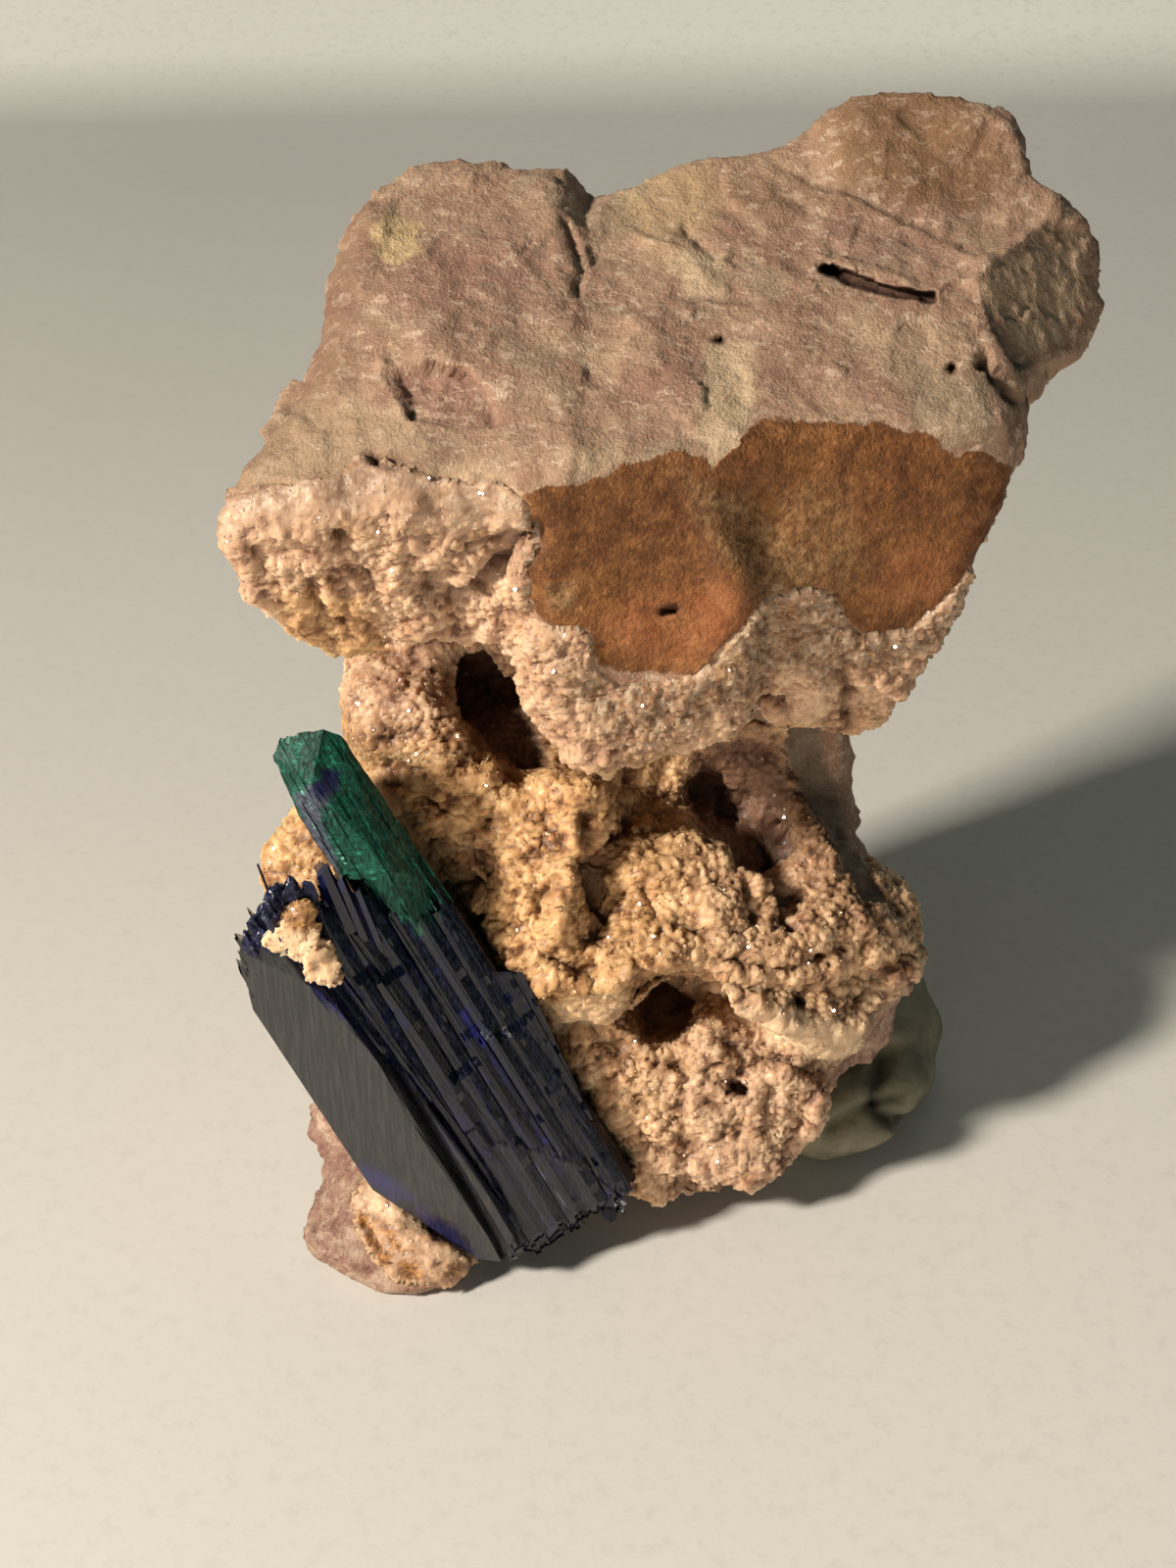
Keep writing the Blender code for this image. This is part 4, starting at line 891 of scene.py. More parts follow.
def nodules(P, calm):
    """Height of the fused knobs of druse, and how far up a knob each point is, from 0 in the crevices to 1."""
    q = P + 0.22 * np.stack([fbm(P, 1.1, 3, s) for s in (11.0, 12.0, 13.0)], 1)
    a, b, c = cells(q, 1.10, 6.0), cells(P, 2.1, 8.0), cells(P, 4.4, 8.8)
    ka = np.sqrt(np.clip(1 - (a[:, 0] / 0.88) ** 2, 0, 1))
    kb = np.sqrt(np.clip(1 - (b[:, 0] / 0.84) ** 2, 0, 1)) * smooth(b[:, 1] - b[:, 0], -0.10, 0.22)
    kc = 1 - np.clip(c[:, 0] / 0.8, 0, 1)
    big, crag = fbm(P, 0.42, 2, 17.0), fbm(P, 0.85, 4, 18.0)
    ra, rb = np.clip(0.60 + 1.1 * big, 0.15, 1.2) * (1 - 0.75 * calm), np.clip(1.0 - 0.6 * big, 0.55, 1.3) * (1 - 0.55 * calm)
    hole = smooth(fbm(P, 1.3, 2, 19.0), 0.42, 0.62) * (1 - calm)
    h = 0.34 * ra * (ka - 0.70) + 0.24 * rb * (kb - 0.62) + 0.06 * (kc - 0.4) + 0.20 * crag * (1 - 0.8 * calm) - 0.18 * hole
    up = np.clip(0.40 + 0.34 * (ka - 0.60) * ra + 0.40 * (kb - 0.50) * rb + 0.14 * kc + 0.55 * crag - 0.35 * hole, 0, 1)
    return h, up


def peel(name, base, faces, cuts, ring=1):
    """A finer copy of some of the rock's faces, to be turned into druse."""
    ob = bpy.data.objects.new(name, base.data.copy())
    bpy.context.scene.collection.objects.link(ob)
    bm = bmesh.new()
    bm.from_mesh(ob.data)
    bm.faces.ensure_lookup_table()
    keep = {bm.faces[i] for i in np.nonzero(faces)[0]}
    for _ in range(ring):
        keep |= {g for f in keep for v in f.verts for g in v.link_faces}
    bmesh.ops.delete(bm, geom=[f for f in bm.faces if f not in keep], context="FACES")
    bmesh.ops.subdivide_edges(bm, edges=bm.edges[:], cuts=cuts, use_grid_fill=True)
    bm.to_mesh(ob.data)
    bm.free()
    for k in list(ob.data.attributes):
        if k.name in MASKS:
            ob.data.attributes.remove(k)
    mod = ob.modifiers.new("relax", "SMOOTH")
    mod.factor, mod.iterations = 0.5, 3
    bpy.context.view_layer.update()
    me = bpy.data.meshes.new_from_object(ob.evaluated_get(bpy.context.evaluated_depsgraph_get()))
    ob.modifiers.clear()
    ob.data = me
    me.polygons.foreach_set("use_smooth", [True] * len(me.polygons))
    return ob


MASKS = ("far", "painted_shade", "thick", "druse", "stain", "cream_and_painted_light", "tan", "ochre", "mauve", "green", "glow", "drab", "rose", "pink", "pale", "rust", "wall", "rim", "calm", "knob", "deep")
f_druse = m["druse"]
show = smooth((N * unit(EYE - P)).sum(1), -0.35, 0.05)
me = rock.data
idx = [list(p.vertices) for p in me.polygons]
fd = np.array([f_druse[i].max() for i in idx]) > 0.33
fs = np.array([show[i].mean() for i in idx]) > 0.36
fz = np.array([P[i, 2].mean() for i in idx]) > 26.4
coats = []
COAT = coat_material()
for name, faces, cuts, per in (("druse_lower_front", fd & fs & ~fz, 2, (0.27, 0.115, 6500)), ("druse_cap_front", fd & fs & fz, 2, (0.27, 0.115, 4200)),
                               ("druse_hidden_sides", fd & ~fs, 1, (0.6, 0.20, 2600))):
    ob = peel(name, rock, faces, cuts)
    Q, NQ = points_of(ob), normals_of(ob)
    mq, uq, wq, fq, cq = paint(Q, NQ)
    e, thick = smooth(mq["druse"], 0.35, 0.62), mq["thick"]
    pq, sink, _ = marks(Q, NQ, uq, wq, fq, cq)
    Q = Q + pq
    set_points(ob, Q)
    NQ = unit(0.5 * NQ + 0.5 * normals_of(ob))
    h, up = nodules(Q, mq["calm"])
    up = up * (0.45 + 0.55 * thick) + 0.38 * (1 - thick)
    Q = Q + NQ * (e * (h * (0.25 + 0.75 * thick) + 0.06 + 0.10 * thick) - (1 - e) * 0.28)[:, None]
    Q[:, 2] = np.maximum(Q[:, 2], 0.02)
    set_points(ob, Q)
    NQ = normals_of(ob)
    # painted shade: the vug, the recess under the cap and the big pit are darkened in colour
    sink = np.maximum(sink, area(uq, wq, [(448, 672), (500, 662), (530, 690), (552, 735), (560, 785), (520, 795), (488, 765), (466, 715)], 8) * (1 - cq) * smooth(fq, -0.5, -0.1))
    sink = np.maximum(sink, area(uq, wq, [(700, 770), (756, 746), (798, 756), (806, 810), (802, 850), (790, 886), (750, 872), (712, 832)], 11) * (1 - cq) * smooth(fq, -0.5, -0.1))
    sink = np.maximum(sink, 0.62 * area(uq, wq, [(632, 990), (700, 985), (716, 1020), (706, 1052), (650, 1075), (628, 1052)], 8) * (1 - cq))
    write_masks(ob, mq, knob=up, deep=sink)
    ob.data.materials.append(COAT)
    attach(ob, "root")
    print(name, len(ob.data.polygons), "faces")
    # small free-standing crystals on the knobs
    T = triangles_of(ob)
    weight = e * (0.35 + 0.65 * smooth(up, 0.2, 0.6)) * (1 - 0.6 * sink) * (0.35 + 0.65 * thick)
    spacing, size, limit = per
    pts, nor, tri, bary = scatter(Q, NQ, T, weight, spacing, limit, 31 + len(coats))
    gr, each = crystals(name.replace("druse", "quartz"), pts, nor, size, 61 + len(coats), sink=0.50)
    for key, v in (("knob", up), ("thick", thick), ("painted_shade", mq["painted_shade"]), ("pink", mq["pink"]), ("pale", mq["pale"]), ("rust", mq["rust"]), ("rim", mq["rim"]), ("calm", mq["calm"]), ("deep", sink)):
        attribute(gr, key, per_grain((v[tri] * bary).sum(1), each))
    attribute(gr, "grain", per_grain(np.random.default_rng(91 + len(coats)).random(len(pts)), each))
    gr.data.materials.append(quartz_material(name.replace("druse", "quartz")))
    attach(gr, "root")
    print(gr.name, len(pts), "crystals", len(gr.data.polygons), "triangles")
    coats.append(ob)

# a few larger quartz faces lie so that they flash
KEY = np.array([-0.292, -0.175, 0.25])
rng = np.random.default_rng(404)
V, F = [], []
for ob, want in ((coats[0], 60), (coats[1], 40)):
    Q, NQ = points_of(ob), normals_of(ob)
    half = unit(unit(KEY * 1000.0 + ORIGIN - Q) + unit(EYE - Q))
    good = np.nonzero(((NQ * half).sum(1) > 0.55) & ((NQ * unit(EYE - Q)).sum(1) > 0.3))[0]
    for i in rng.choice(good, want, replace=False):
        n = unit(half[i] + rng.normal(0, 0.035, 3))
        x = unit(np.cross(n, rng.normal(size=3)))
        y = np.cross(n, x)
        r = rng.uniform(0.05, 0.11) * (1.5 if rng.random() > 0.9 else 1.0)
        c = Q[i] + NQ[i] * 0.05 + n * 0.02
        b0 = len(V)
        for d, k in ((0.0, 1.0), (-1.3 * r, 1.25)):
            V += [c + n * d + r * k * (x * math.cos(t * math.pi / 3) * (1.0, 0.8)[t % 2] + y * math.sin(t * math.pi / 3)) for t in range(6)]
        F += [[b0, b0 + 1, b0 + 2, b0 + 3, b0 + 4, b0 + 5], [b0 + 11, b0 + 10, b0 + 9, b0 + 8, b0 + 7, b0 + 6]]
        F += [[b0 + t, b0 + 6 + t, b0 + 6 + (t + 1) % 6, b0 + (t + 1) % 6] for t in range(6)]
flash = new_object("quartz_flashing_faces", V, F, False)
g = Graph("quartz_clear_face")
flash.data.materials.append(g.out(g.ramp(g.noise(0.8, 3), (0.35, (0.42, 0.27, 0.16)), (0.65, (0.62, 0.44, 0.30))), g.ramp(g.noise(3.0, 3), (0.3, 0.05), (0.7, 0.16)),
                                  g.bump(g.noise(5.0, 2), 0.04, 0.02), Specular_IOR_Level=0.6))
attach(flash, "root")

# the rock itself, which draws back under its druse
P = P + push + N0 * ((1 - edge) * bare_h * smooth(P[:, 2], 0.2, 1.2) - 0.45 * smooth(f_druse, 0.85, 1.0))[:, None]
low_corner, high_corner = np.array(cad_box[0]) * 1000.0 + ORIGIN, np.array(cad_box[1]) * 1000.0 + ORIGIN
P = np.clip(P, low_corner + [-0.25, -0.25, 0.0], high_corner + 0.25)
set_points(rock, P)
# the pit mask paints shade into the rock's pits and slots
write_masks(rock, m, knob=np.full(len(P), 0.4), deep=pit * np.where(cap > 0.5, 0.95, 0.7))
rock.data.materials.append(rock_material())
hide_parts("matrix")
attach(rock, "root")
print("rock", len(rock.data.polygons), "faces")

# ---- azurite --------------------------------------------------------------------------------------
def rows(P):
    return along(P)[0], along(P)[1]


az = from_node("azurite_blades", "azurite")
bm = bmesh.new()
bm.from_mesh(az.data)
bmesh.ops.transform(bm, matrix=Matrix.Scale(1000.0, 4), verts=bm.verts)
bmesh.ops.translate(bm, vec=Vector(ORIGIN), verts=bm.verts)
Q = np.array([v.co[:] for v in bm.verts])
t_, a_, f_ = along(Q)
# two lines down the face, which the laths between them follow as they draw together
(tl0, al0, _), (tl1, al1, _) = along(S(340, 1020, 3.0)), along(S(520, 1255, 2.0))
(tr0, ar0, _), (tr1, ar1, _) = along(S(455, 915, 4.5)), along(S(640, 1232, 2.0))


def left_line(a):
    return tl0 + (a - al0) * (tl1 - tl0) / (al1 - al0)


def right_line(a):
    return tr0 + (a - ar0) * (tr1 - tr0) / (ar1 - ar0)


def fan(t, a):
    """Place across the laths, 0 on the left line and 1 on the right one."""
    return (t - left_line(a)) / (right_line(a) - left_line(a))


class Laths:
    """Laths of irregular width, each broken at its own places on the way down."""

    def __init__(self, mean, run, seed):
        rng = np.random.default_rng(seed)
        self.cuts = np.cumsum(rng.gamma(2.2, mean / 2.2, 600)) - 1.6
        self.cuts = self.cuts[self.cuts < 2.2]
        n = len(self.cuts) + 1
        self.shift, self.run = rng.uniform(0, 50, n), run * rng.uniform(0.6, 1.6, n)
        self.lean = rng.normal(0, 1, n)
        self.seed = seed

    def level(self, s, a):
        k = np.searchsorted(self.cuts, s)
        j = np.floor((a + self.shift[k]) / self.run[k])
        h = np.sin(k * 127.1 + j * 311.7 + self.seed * 74.7) * 43758.5453
        return h - np.floor(h) - 0.5

    def own(self, s, values_seed):
        k = np.searchsorted(self.cuts, s)
        return np.random.default_rng(values_seed).random(len(self.cuts) + 1)[k]


WIDE, MIDDLE, NARROW = Laths(0.150, 9.0, 5), Laths(0.062, 5.5, 6), Laths(0.026, 3.2, 7)
s_all = fan(t_, a_)
lo, hi = float(s_all.min()), float(s_all.max())
a_lo, a_hi = float(a_.min()), float(a_.max())


def slice_at(bm, co, no):
    bmesh.ops.bisect_plane(bm, geom=bm.verts[:] + bm.edges[:] + bm.faces[:], dist=1e-6, plane_co=Vector(co), plane_no=Vector(no))


def point(t, a):
    return A0 + ACROSS * t + AXIS * a


for cut in np.unique(np.round(np.concatenate([WIDE.cuts, MIDDLE.cuts, NARROW.cuts]), 4)):
    if not lo < cut < hi:
        continue
    for d in (-0.0011, 0.0011):
        c = cut + d
        p0 = point(left_line(a_lo) + c * (right_line(a_lo) - left_line(a_lo)), a_lo)
        p1 = point(left_line(a_hi) + c * (right_line(a_hi) - left_line(a_hi)), a_hi)
        slice_at(bm, p0, unit(np.cross(p1 - p0, FACE)))
for a in np.arange(a_lo + 0.25, a_hi, 0.5):
    slice_at(bm, A0 + AXIS * a, AXIS)
bmesh.ops.triangulate(bm, faces=bm.faces)
bm.normal_update()
Q = np.array([v.co[:] for v in bm.verts])
NQ = np.array([v.normal[:] for v in bm.verts])
bm.to_mesh(az.data)
bm.free()
t_, a_, f_ = along(Q)
UQ, WQ = sheet(Q)
sq = fan(t_, a_)
PLATE = [(225, 960), (262, 920), (300, 985), (334, 1024), (386, 1077), (412, 1094), (452, 1148), (505, 1222), (528, 1262), (520, 1300), (480, 1302), (430, 1250), (372, 1228), (280, 1082), (240, 1040)]
flat = area(UQ, WQ, PLATE, 2.0) * smooth((NQ * unit(EYE - Q)).sum(1), -0.1, 0.2)
toward = NQ @ FACE
# the laths stand out little from one common face
front = (toward > 0.3) & (flat < 0.5)
fit = np.linalg.lstsq(np.stack([np.ones(front.sum()), t_[front], a_[front]], 1), f_[front], rcond=None)[0]
rise = f_ - (fit[0] + fit[1] * t_ + fit[2] * a_)
squash = smooth(rise, -2.6, -1.0) * (1 - area(UQ, WQ, PLATE, 6.0)) * smooth(t_ - left_line(a_), -0.4, 0.4)
Q = Q - FACE * (0.72 * squash * rise)[:, None]
relief = 0.70 * WIDE.level(sq, a_) + 0.24 * MIDDLE.level(sq, a_) + 0.05 * NARROW.level(sq, a_)
relief += 0.35 * WIDE.lean[np.searchsorted(WIDE.cuts, sq)] * (sq - np.concatenate([[0], (WIDE.cuts[1:] + WIDE.cuts[:-1]) / 2, [0]])[np.clip(np.searchsorted(WIDE.cuts, sq), 0, len(WIDE.cuts))])
lift = np.clip(relief, -0.48, 0.42) * smooth(toward, -0.1, 0.4) * (1 - flat)
hair = np.exp(-(seg_dist(UQ, WQ, [(386, 1077), (421, 1146), (460, 1192), (499, 1240)]) / 2.0) ** 2)
lift -= 0.10 * hair * flat
gully = np.exp(-(seg_dist(UQ, WQ, [(338, 1034), (392, 1080), (414, 1096), (456, 1148), (508, 1218), (532, 1258)]) / 6.0) ** 2)
lift -= 0.22 * gully * (1 - flat) * smooth(toward, -0.1, 0.4)
# an oblique break across the foot of the right-hand laths, and the square end below it
BREAK = [(500, 1168), (556, 1176), (602, 1196), (640, 1228), (600, 1264), (540, 1290), (520, 1240)]
broken = area(UQ, WQ, BREAK, 2.5) * smooth(toward, -0.1, 0.4) * (1 - flat)
lift = lift * (1 - 0.85 * broken) - 0.22 * broken
low_end = MIDDLE.own(sq, 71) * 0.7 - 0.5
top_end = 1.5 * MIDDLE.own(sq, 72) + 0.7 * NARROW.own(sq, 73) - 0.9
slip = low_end * smooth(a_, a_hi - 4.0, a_hi - 0.5) * (1 - 0.75 * flat) * 0.8 + top_end * smooth(a_, 3.6, 0.6) * (1 - 0.7 * flat)
Q = Q + FACE * lift[:, None] + AXIS * slip[:, None]
Q[:, 2] = np.maximum(Q[:, 2], 0.03)
set_points(az, Q)
az.data.polygons.foreach_set("use_smooth", [False] * len(az.data.polygons))
groove = np.exp(-(seg_dist(UQ, WQ, [(326, 1010), (352, 1050), (398, 1092), (462, 1172), (500, 1224), (524, 1258)]) / 9.0) ** 2)
groove2 = np.exp(-(seg_dist(UQ, WQ, [(455, 1010), (480, 1060), (520, 1130), (560, 1190)]) / 14.0) ** 2)
band = MIDDLE.own(sq, 74)
shade = smooth(fbm(Q, 0.35, 3, 39.0), -0.15, 0.25)
fringe = np.exp(-(seg_dist(UQ + 4 * fbm(Q, 1.2, 3, 61.0), WQ + 4 * fbm(Q, 1.2, 3, 62.0), [(376, 1196), (430, 1238), (486, 1284)]) / 9.0) ** 2)
attribute(az, "blue", np.clip(fringe + groove * (1 - 0.8 * flat) + 0.45 * groove2 * shade + 0.6 * (band > 0.84) * (1 - flat) * shade, 0, 1) * (1 - 0.7 * broken))
attribute(az, "chalk", np.clip((NARROW.own(sq, 75) > 0.95) * (1 - flat) * smooth(np.sin(a_ * 1.3 + 9 * band), 0.6, 0.95), 0, 1))
attribute(az, "green", area(UQ + 3 * fbm(Q, 1.5, 2, 36.0), WQ + 6 * fbm(Q, 1.5, 2, 37.0), [(345, 880), (440, 880), (452, 925), (436, 962), (412, 950), (385, 925), (350, 905)], 5) * smooth(fbm(Q, 1.6, 3, 38.0), -0.12, 0.05))
attribute(az, "mirror", np.clip(flat * (1 - 0.35 * fringe) + 0.55 * broken, 0, 1))
# painted shade: side faces turned from the key and the right-hand part of the sheaf; some wide laths are darker of
# their own
edge_side = smooth(sq, 0.74, 0.86) * smooth(toward, 0.88, 0.70)
attribute(az, "velvet_and_painted_shade", np.clip(edge_side + 0.85 * smooth(sq + 0.10 * fbm(Q, 0.5, 3, 63.0), 0.66, 0.86) * (1 - broken) * smooth(WQ, 1235, 1190)
                                + 0.8 * (WIDE.own(sq, 76) > 0.62) * (1 - flat) * (1 - broken), 0, 1))
AZURITE = azurite_material("azurite_blade", 0.43, 1.73)
az.data.materials.append(AZURITE)
# the long side of the last lath, dull and nearly black
az.data.materials.append(azurite_material("azurite_dull_side", 0.12, 1.45))
dull = [int(p.normal @ Vector(ACROSS) > 0.45 and sq[list(p.vertices)].mean() > 0.70) for p in az.data.polygons]
az.data.polygons.foreach_set("material_index", dull)
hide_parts("azurite")
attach(az, "root")
print("azurite", len(az.data.polygons), "fan", lo, hi)
az_tree = BVHTree.FromPolygons([tuple(p) for p in Q], [tuple(p.vertices) for p in az.data.polygons])


def hit_on(tree, column, row, away=0.0):
    ray = unit(AHEAD * FOCAL + RIGHT * (column - 600.0) + UP * (800.0 - row))
    found = tree.ray_cast(Vector(EYE), Vector(ray))[0]
    return None if found is None else np.array(found) + ray * away


def prisms(name, items):
    """Joined slim prisms with chisel ends: (foot, top, half width, half thickness, twist)."""
    V, F = [], []
    for foot, top, w, d, twist in items:
        ax = unit(top - foot)
        h = unit(np.cross(ax, FACE))
        k = np.cross(ax, h)
        h, k = h * math.cos(twist) + k * math.sin(twist), k * math.cos(twist) - h * math.sin(twist)
        ring = [h * w + k * d * 0.3, h * 0.5 * w + k * d, -h * 0.6 * w + k * d, -h * w - k * d * 0.2, -h * 0.4 * w - k * d, h * 0.6 * w - k * d]
        b0 = len(V)
        V += [foot + r for r in ring]
        V += [top + r * 0.8 + ax * (0.35 * (r @ h)) for r in ring]
        F += [[b0 + i, b0 + (i + 1) % 6, b0 + 6 + (i + 1) % 6, b0 + 6 + i] for i in range(6)]
        F += [[b0 + 5, b0 + 4, b0 + 3, b0 + 2, b0 + 1, b0], [b0 + 6, b0 + 7, b0 + 8, b0 + 9, b0 + 10, b0 + 11]]
    return new_object(name, V, F, False)


# small splinters of azurite beside the malachite's foot and at the crystal's upper left corner
rng = np.random.default_rng(77)


def splinter(c0, r0, c1, r1, w):
    g = hit_on(az_tree, c0, r0, 0.15)
    depth = float(g[1]) if g is not None else 4.6
    return S(c0, r0, depth), S(c1, r1, depth + 0.15), w, 0.7 * w, float(rng.uniform(-0.6, 0.6))


splinters = prisms("azurite_splinters", [splinter(*q) for q in ((276, 916, 263, 882, 0.09), (356, 950, 329, 888, 0.50), (372, 958, 346, 896, 0.36), (386, 962, 364, 908, 0.30))])
zero = np.zeros(len(splinters.data.vertices))
for key, v in (("mirror", 0.0), ("blue", 0.35), ("chalk", 0.0), ("green", 0.0), ("velvet_and_painted_shade", 0.5)):
    attribute(splinters, key, zero + v)
splinters.data.materials.append(AZURITE)
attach(splinters, "root")

# the corner itself is a lumpy clump of blade ends, grown into one
clump = prisms("azurite_clump", [splinter(*q) for q in ((314, 966, 291, 902, 0.66), (330, 956, 309, 908, 0.46), (294, 966, 273, 916, 0.56), (276, 968, 256, 940, 0.50),
                                                        (264, 974, 247, 956, 0.40), (300, 940, 281, 903, 0.34), (284, 950, 264, 928, 0.34))])
mod = clump.modifiers.new("fuse", "REMESH")
mod.mode, mod.voxel_size = "VOXEL", 0.00009
bpy.context.view_layer.update()
fused = bpy.data.meshes.new_from_object(clump.evaluated_get(bpy.context.evaluated_depsgraph_get()))
clump.modifiers.clear()
clump.data = fused
K, NK = points_of(clump), normals_of(clump)
across, down, proud = along(K)
ribs = fbm(np.stack([across * 2.4, down * 0.45, proud * 2.4], 1), 1.0, 3, 67.0)
K = K + NK * (0.30 * ribs + 0.20 * fbm(K, 1.4, 3, 68.0))[:, None]
set_points(clump, K)
fused.polygons.foreach_set("use_smooth", [False] * len(fused.polygons))
zero = np.zeros(len(K))
for key, v in (("mirror", 0.0), ("blue", 0.18), ("chalk", 0.16), ("green", 0.0), ("velvet_and_painted_shade", 0.0)):
    attribute(clump, key, zero + v)
fused.materials.append(azurite_material("azurite_rough_ends", 0.25, 1.6))
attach(clump, "root")
print("clump", len(fused.polygons))

# ---- malachite ------------------------------------------------------------------------------------
mal = from_node("malachite_fibre_tip", "malachite_tip")
bm = bmesh.new()
bm.from_mesh(mal.data)
bmesh.ops.transform(bm, matrix=Matrix.Scale(1000.0, 4), verts=bm.verts)
bmesh.ops.translate(bm, vec=Vector(ORIGIN), verts=bm.verts)
M = np.array([v.co[:] for v in bm.verts])
t_, a_, f_ = along(M)
rng = np.random.default_rng(15)
seams = np.cumsum(rng.gamma(2.2, 0.17 / 2.2, 200)) + t_.min() - 0.1
seams = seams[seams < t_.max()]
m_lo, m_hi = float(a_.min()), float(a_.max())
for c in seams:
    for d in (-0.006, 0.006):
        slice_at(bm, A0 + ACROSS * (c + d), ACROSS)
for a in np.arange(m_lo + 0.12, m_hi, 0.26):
    slice_at(bm, A0 + AXIS * a, AXIS)
bmesh.ops.triangulate(bm, faces=bm.faces)
bm.normal_update()
M = np.array([v.co[:] for v in bm.verts])
NM = np.array([v.normal[:] for v in bm.verts])
bm.to_mesh(mal.data)
bm.free()
t_, a_, f_ = along(M)
UM, WM = sheet(M)
k = np.searchsorted(seams, t_)
n_k = len(seams) + 1
run = rng.uniform(0.9, 2.6, n_k)[k]
j = np.floor((a_ + rng.uniform(0, 9, n_k)[k]) / run)
h = np.sin(k * 91.7 + j * 213.3) * 43758.5453
fib = h - np.floor(h) - 0.5
side = smooth(np.abs(NM @ AXIS), 0.8, 0.4)
M = M + NM * (side * (0.13 * fib + 0.05 * fbm(M, 1.4, 3, 32.0)))[:, None]
ends = (rng.uniform(-0.5, 1.3, n_k)[k]) * smooth(a_, m_hi - 2.0, m_hi - 0.3) - rng.uniform(-0.06, 0.12, n_k)[k] * smooth(a_, m_lo + 0.6, m_lo + 0.1)
M = M + AXIS * ends[:, None]
set_points(mal, M)
mal.data.polygons.foreach_set("use_smooth", [False] * len(mal.data.polygons))
slate = area(UM + 5 * fbm(M, 1.3, 3, 34.0), WM + 5 * fbm(M, 1.3, 3, 35.0), [(298, 812), (318, 800), (345, 800), (342, 814), (326, 828), (332, 850), (342, 872), (346, 892), (330, 895), (312, 850)], 3)
attribute(mal, "slate", slate * 0.95)
attribute(mal, "ink", area(UM + 4 * fbm(M, 1.3, 3, 34.0), WM, [(318, 806), (332, 784), (346, 786), (344, 806), (328, 818)], 3) * 0.95)
attribute(mal, "chalk", np.clip(((rng.random(n_k)[k] > 0.86) * smooth(np.sin(a_ * 1.7 + k), 0.3, 0.9)) + smooth(a_, m_lo + 0.35, m_lo) * 0.8, 0, 1))
MALACHITE = malachite_material()
mal.data.materials.append(MALACHITE)
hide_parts("malachite_tip")
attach(mal, "root")
print("malachite", len(mal.data.polygons))
# needles of malachite that run out over the top of the azurite
items = []
for i in range(60):
    c0, r0 = 352 + 84 * rng.random(), 872 + 18 * rng.random()
    reach = (14 + 52 * rng.random() ** 1.5) * (0.45 + 0.55 * (c0 - 350) / 86)
    c1, r1 = c0 + 0.52 * reach + rng.normal(0, 3), r0 + 0.85 * reach
    g0, g1 = hit_on(az_tree, c0, r0, -0.02), hit_on(az_tree, c1, r1, 0.03)
    if g1 is None:
        continue
    g0 = S(c0, r0, float(g1[1]) + 0.2) if g0 is None or abs(g0[1] - g1[1]) > 1.0 else g0
    items.append((g0, g1, 0.05 + 0.07 * rng.random(), 0.05, float(rng.uniform(-1, 1))))
needles = prisms("malachite_needles", items)
zero = np.zeros(len(needles.data.vertices))
for key in ("slate", "ink"):
    attribute(needles, key, zero)
attribute(needles, "chalk", np.repeat((rng.random(len(items)) > 0.75) * 0.8, 12))
needles.data.materials.append(MALACHITE)
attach(needles, "root")

# ---- crust on the crystal -------------------------------------------------------------------------
crust = from_node("crust_skin", "druse_crust", 0.17, 2, 0.5)
C = points_of(crust)
NC = normals_of(crust)
hc, kc = nodules(C, np.zeros(len(C)))
rag = fbm(C, 1.1, 3, 51.0)
C = C + NC * (0.7 * hc - 0.05)[:, None]
C = C + ACROSS * (0.55 * rag * smooth(np.abs(NC @ ACROSS), 0.2, 0.7))[:, None]
out = C @ FACE
base = np.quantile(out, 0.12)
C = C - FACE * (0.30 * np.maximum(out - base, 0))[:, None]
set_points(crust, C)
UC, WC = sheet(C)
rc = 0.9 * area(UC, WC, [(284, 915), (325, 912), (338, 948), (300, 952), (286, 935)], 5)
zero = np.zeros(len(C))
write_masks(crust, {k: zero for k in ("pink", "rim", "deep", "painted_shade")}, thick=zero + 1, pale=zero + 0.6, calm=0.5 * (1 - rc), rust=rc, knob=np.clip(kc + 0.12, 0, 1))
crust.data.materials.append(COAT)
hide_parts("druse_crust")
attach(crust, "root")
TC = triangles_of(crust)
NC = normals_of(crust)
pts, nor, tri, bary = scatter(C, NC, TC, smooth(kc, 0.3, 0.7), 0.35, 500, 41)
gr, each = crystals("crust_crystals", pts, nor, 0.14, 41, sink=0.5)
for key, v in (("knob", kc), ("thick", zero + 1), ("painted_shade", zero), ("pink", zero), ("pale", zero + 0.8), ("rim", zero), ("rust", rc), ("calm", 0.5 * (1 - rc)), ("deep", zero)):
    attribute(gr, key, per_grain((v[tri] * bary).sum(1), each))
attribute(gr, "grain", per_grain(np.random.default_rng(42).random(len(pts)), each))
gr.data.materials.append(quartz_material("crust_quartz"))
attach(gr, "root")

# ---- putty ----------------------------------------------------------------------------------------
putty = from_node("putty_wad", "mounting_putty", 0.34, 3, 0.5)
B = points_of(putty)
NB = normals_of(putty)
UB, WB = sheet(B)
fold = np.exp(-(seg_dist(UB, WB, [(958, 1150), (925, 1148), (900, 1135), (896, 1100), (905, 1070)]) / 9.0) ** 2)
fold2 = np.exp(-(seg_dist(UB, WB, [(850, 1150), (880, 1128), (915, 1118)]) / 7.0) ** 2)
off = -0.9 * fold - 0.5 * fold2 + 0.35 * fbm(B, 0.22, 2, 51.0) + 0.05 * fbm(B, 1.2, 2, 52.0)
B = B + NB * (off * smooth(B[:, 2], 0.05, 0.8))[:, None]
B[:, 2] = np.maximum(B[:, 2], 0.0)
set_points(putty, B)
attribute(putty, "crease", np.clip(0.7 * fold + 0.4 * fold2, 0, 1))
putty.data.materials.append(putty_material())
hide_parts("mounting_putty")
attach(putty, "root")

# ---- stage: pale floor and far band, soft light, camera --------------------------------------------


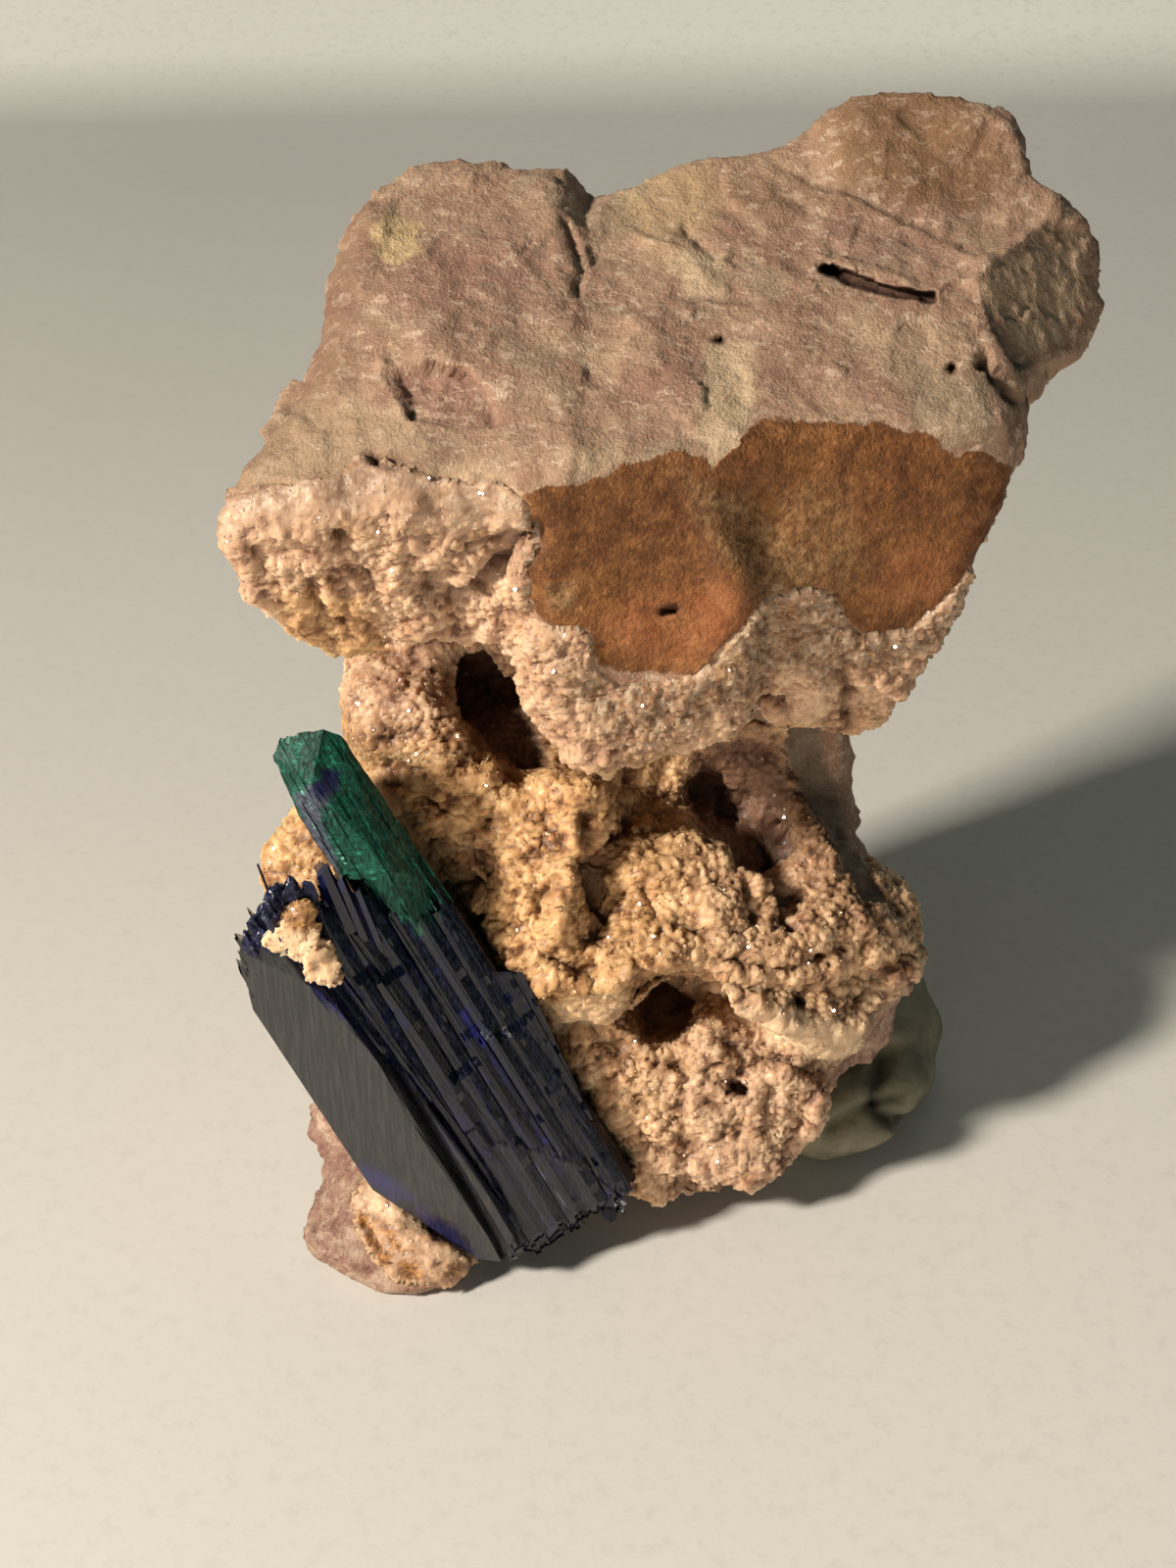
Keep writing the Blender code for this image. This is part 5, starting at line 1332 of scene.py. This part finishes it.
def floor_material():
    g = Graph("pale_paper")
    # painted shade: grey paper made a little darker towards the back and towards the left, where the lamp's light falls
    # off; a paler sheet behind it
    place = g.node("ShaderNodeSeparateXYZ")
    g.link(g.node("ShaderNodeTexCoord").outputs["Object"], place.inputs[0])
    y = g.math("ADD", place.outputs["Y"], g.math("MULTIPLY", place.outputs["X"], -0.05))
    colour = g.ramp(g.math("ADD", g.math("MULTIPLY", y, 2.0), 0.5), (0.36, (0.73, 0.695, 0.645)), (0.56, (0.60, 0.575, 0.530)), (0.70, (0.555, 0.535, 0.495)),
                    (0.860, (0.555, 0.54, 0.50)), (0.905, (0.99, 0.96, 0.89)))
    colour = g.mix(colour, g.ramp(g.math("ADD", g.math("MULTIPLY", place.outputs["X"], 5.0), 0.5), (0.25, 0.84), (0.75, 1.0)), 1.0, "MULTIPLY")
    colour = g.mix(colour, (0.40, 0.385, 0.35), g.math("MULTIPLY", g.step(g.noise(0.9, 3, 0.7), 0.50, 0.70), 0.18))
    return g.out(colour, 0.85, g.bump(g.noise(1.8, 2, 0.6), 0.08, 0.12), Specular_IOR_Level=0.2)


size = 1.2
floor = bpy.data.objects.new("floor", bpy.data.meshes.new("floor"))
prof = [(-0.9, 0.0), (0.16, 0.0), (0.20, 0.003), (0.24, 0.012), (0.30, 0.04), (0.36, 0.10), (0.42, 0.22), (0.46, 0.45), (0.48, 0.9)]
fv = [(x, y, z) for y, z in prof for x in (-size, size)]
ff = [(2 * i, 2 * i + 1, 2 * i + 3, 2 * i + 2) for i in range(len(prof) - 1)]
floor.data.from_pydata(fv, [], ff)
floor.data.update()
floor.data.polygons.foreach_set("use_smooth", [True] * len(floor.data.polygons))
floor.data.materials.append(floor_material())
bpy.context.scene.collection.objects.link(floor)

world = bpy.data.worlds.new("studio")
bpy.context.scene.world = world
world.use_nodes = True
world.node_tree.nodes["Background"].inputs[0].default_value = (0.42, 0.84, 0.92, 1.0)
world.node_tree.nodes["Background"].inputs[1].default_value = 0.062


def softbox(name, place, aim, size, watts, colour):
    light = bpy.data.lights.new(name, "AREA")
    light.shape, light.size, light.size_y = "RECTANGLE", size[0], size[1]
    light.energy, light.color = watts, colour
    ob = bpy.data.objects.new(name, light)
    ob.location = place
    ob.rotation_mode = "QUATERNION"
    ob.rotation_quaternion = (Vector(aim) - Vector(place)).to_track_quat("-Z", "Y")
    bpy.context.scene.collection.objects.link(ob)
    return ob


softbox("key", tuple(KEY), (0.0, -0.02, 0.0), (0.05, 0.05), 2.9, (1.0, 0.93, 0.82))
softbox("fill", (0.10, 0.45, 0.50), (0.0, 0.0, 0.02), (0.4, 0.4), 0.11, (0.80, 1.0, 1.0)).visible_glossy = False
softbox("front", (-0.10, -0.45, 0.024), (0.0, 0.0, 0.022), (0.4, 0.04), 1.1, (1.0, 0.91, 0.79)).visible_glossy = False

# a grey card that the flat face of the big blade mirrors towards the display side
plate = unit(np.cross(S(386, 1085, 1.9) - S(262, 932, 3.9), S(459, 1262, 2.0) - S(262, 932, 3.9)))
mid = (S(330, 1060, 2.9) - ORIGIN) * 0.001
look = unit((EYE - ORIGIN) * 0.001 - mid)
if plate @ look < 0:
    plate = -plate
away = 2 * plate * (plate @ look) - look
print("card towards", away)
softbox("card", tuple(mid + 0.5 * away), tuple(mid), (0.15, 0.15), 0.062, (1.0, 0.95, 0.88))

cam_data = bpy.data.cameras.new("camera")
cam_data.sensor_width = 36.0
cam_data.lens = 18.0 / math.tan(FIELD / 2)
cam_data.clip_start, cam_data.clip_end = 0.005, 10.0
cam = bpy.data.objects.new("camera", cam_data)
cam.location = Vector((EYE - ORIGIN) * 0.001)
cam.rotation_mode = "QUATERNION"
cam.rotation_quaternion = Vector(AHEAD).to_track_quat("-Z", "Y")
bpy.context.scene.collection.objects.link(cam)
bpy.context.scene.camera = cam
bpy.context.scene.view_settings.view_transform = "Standard"
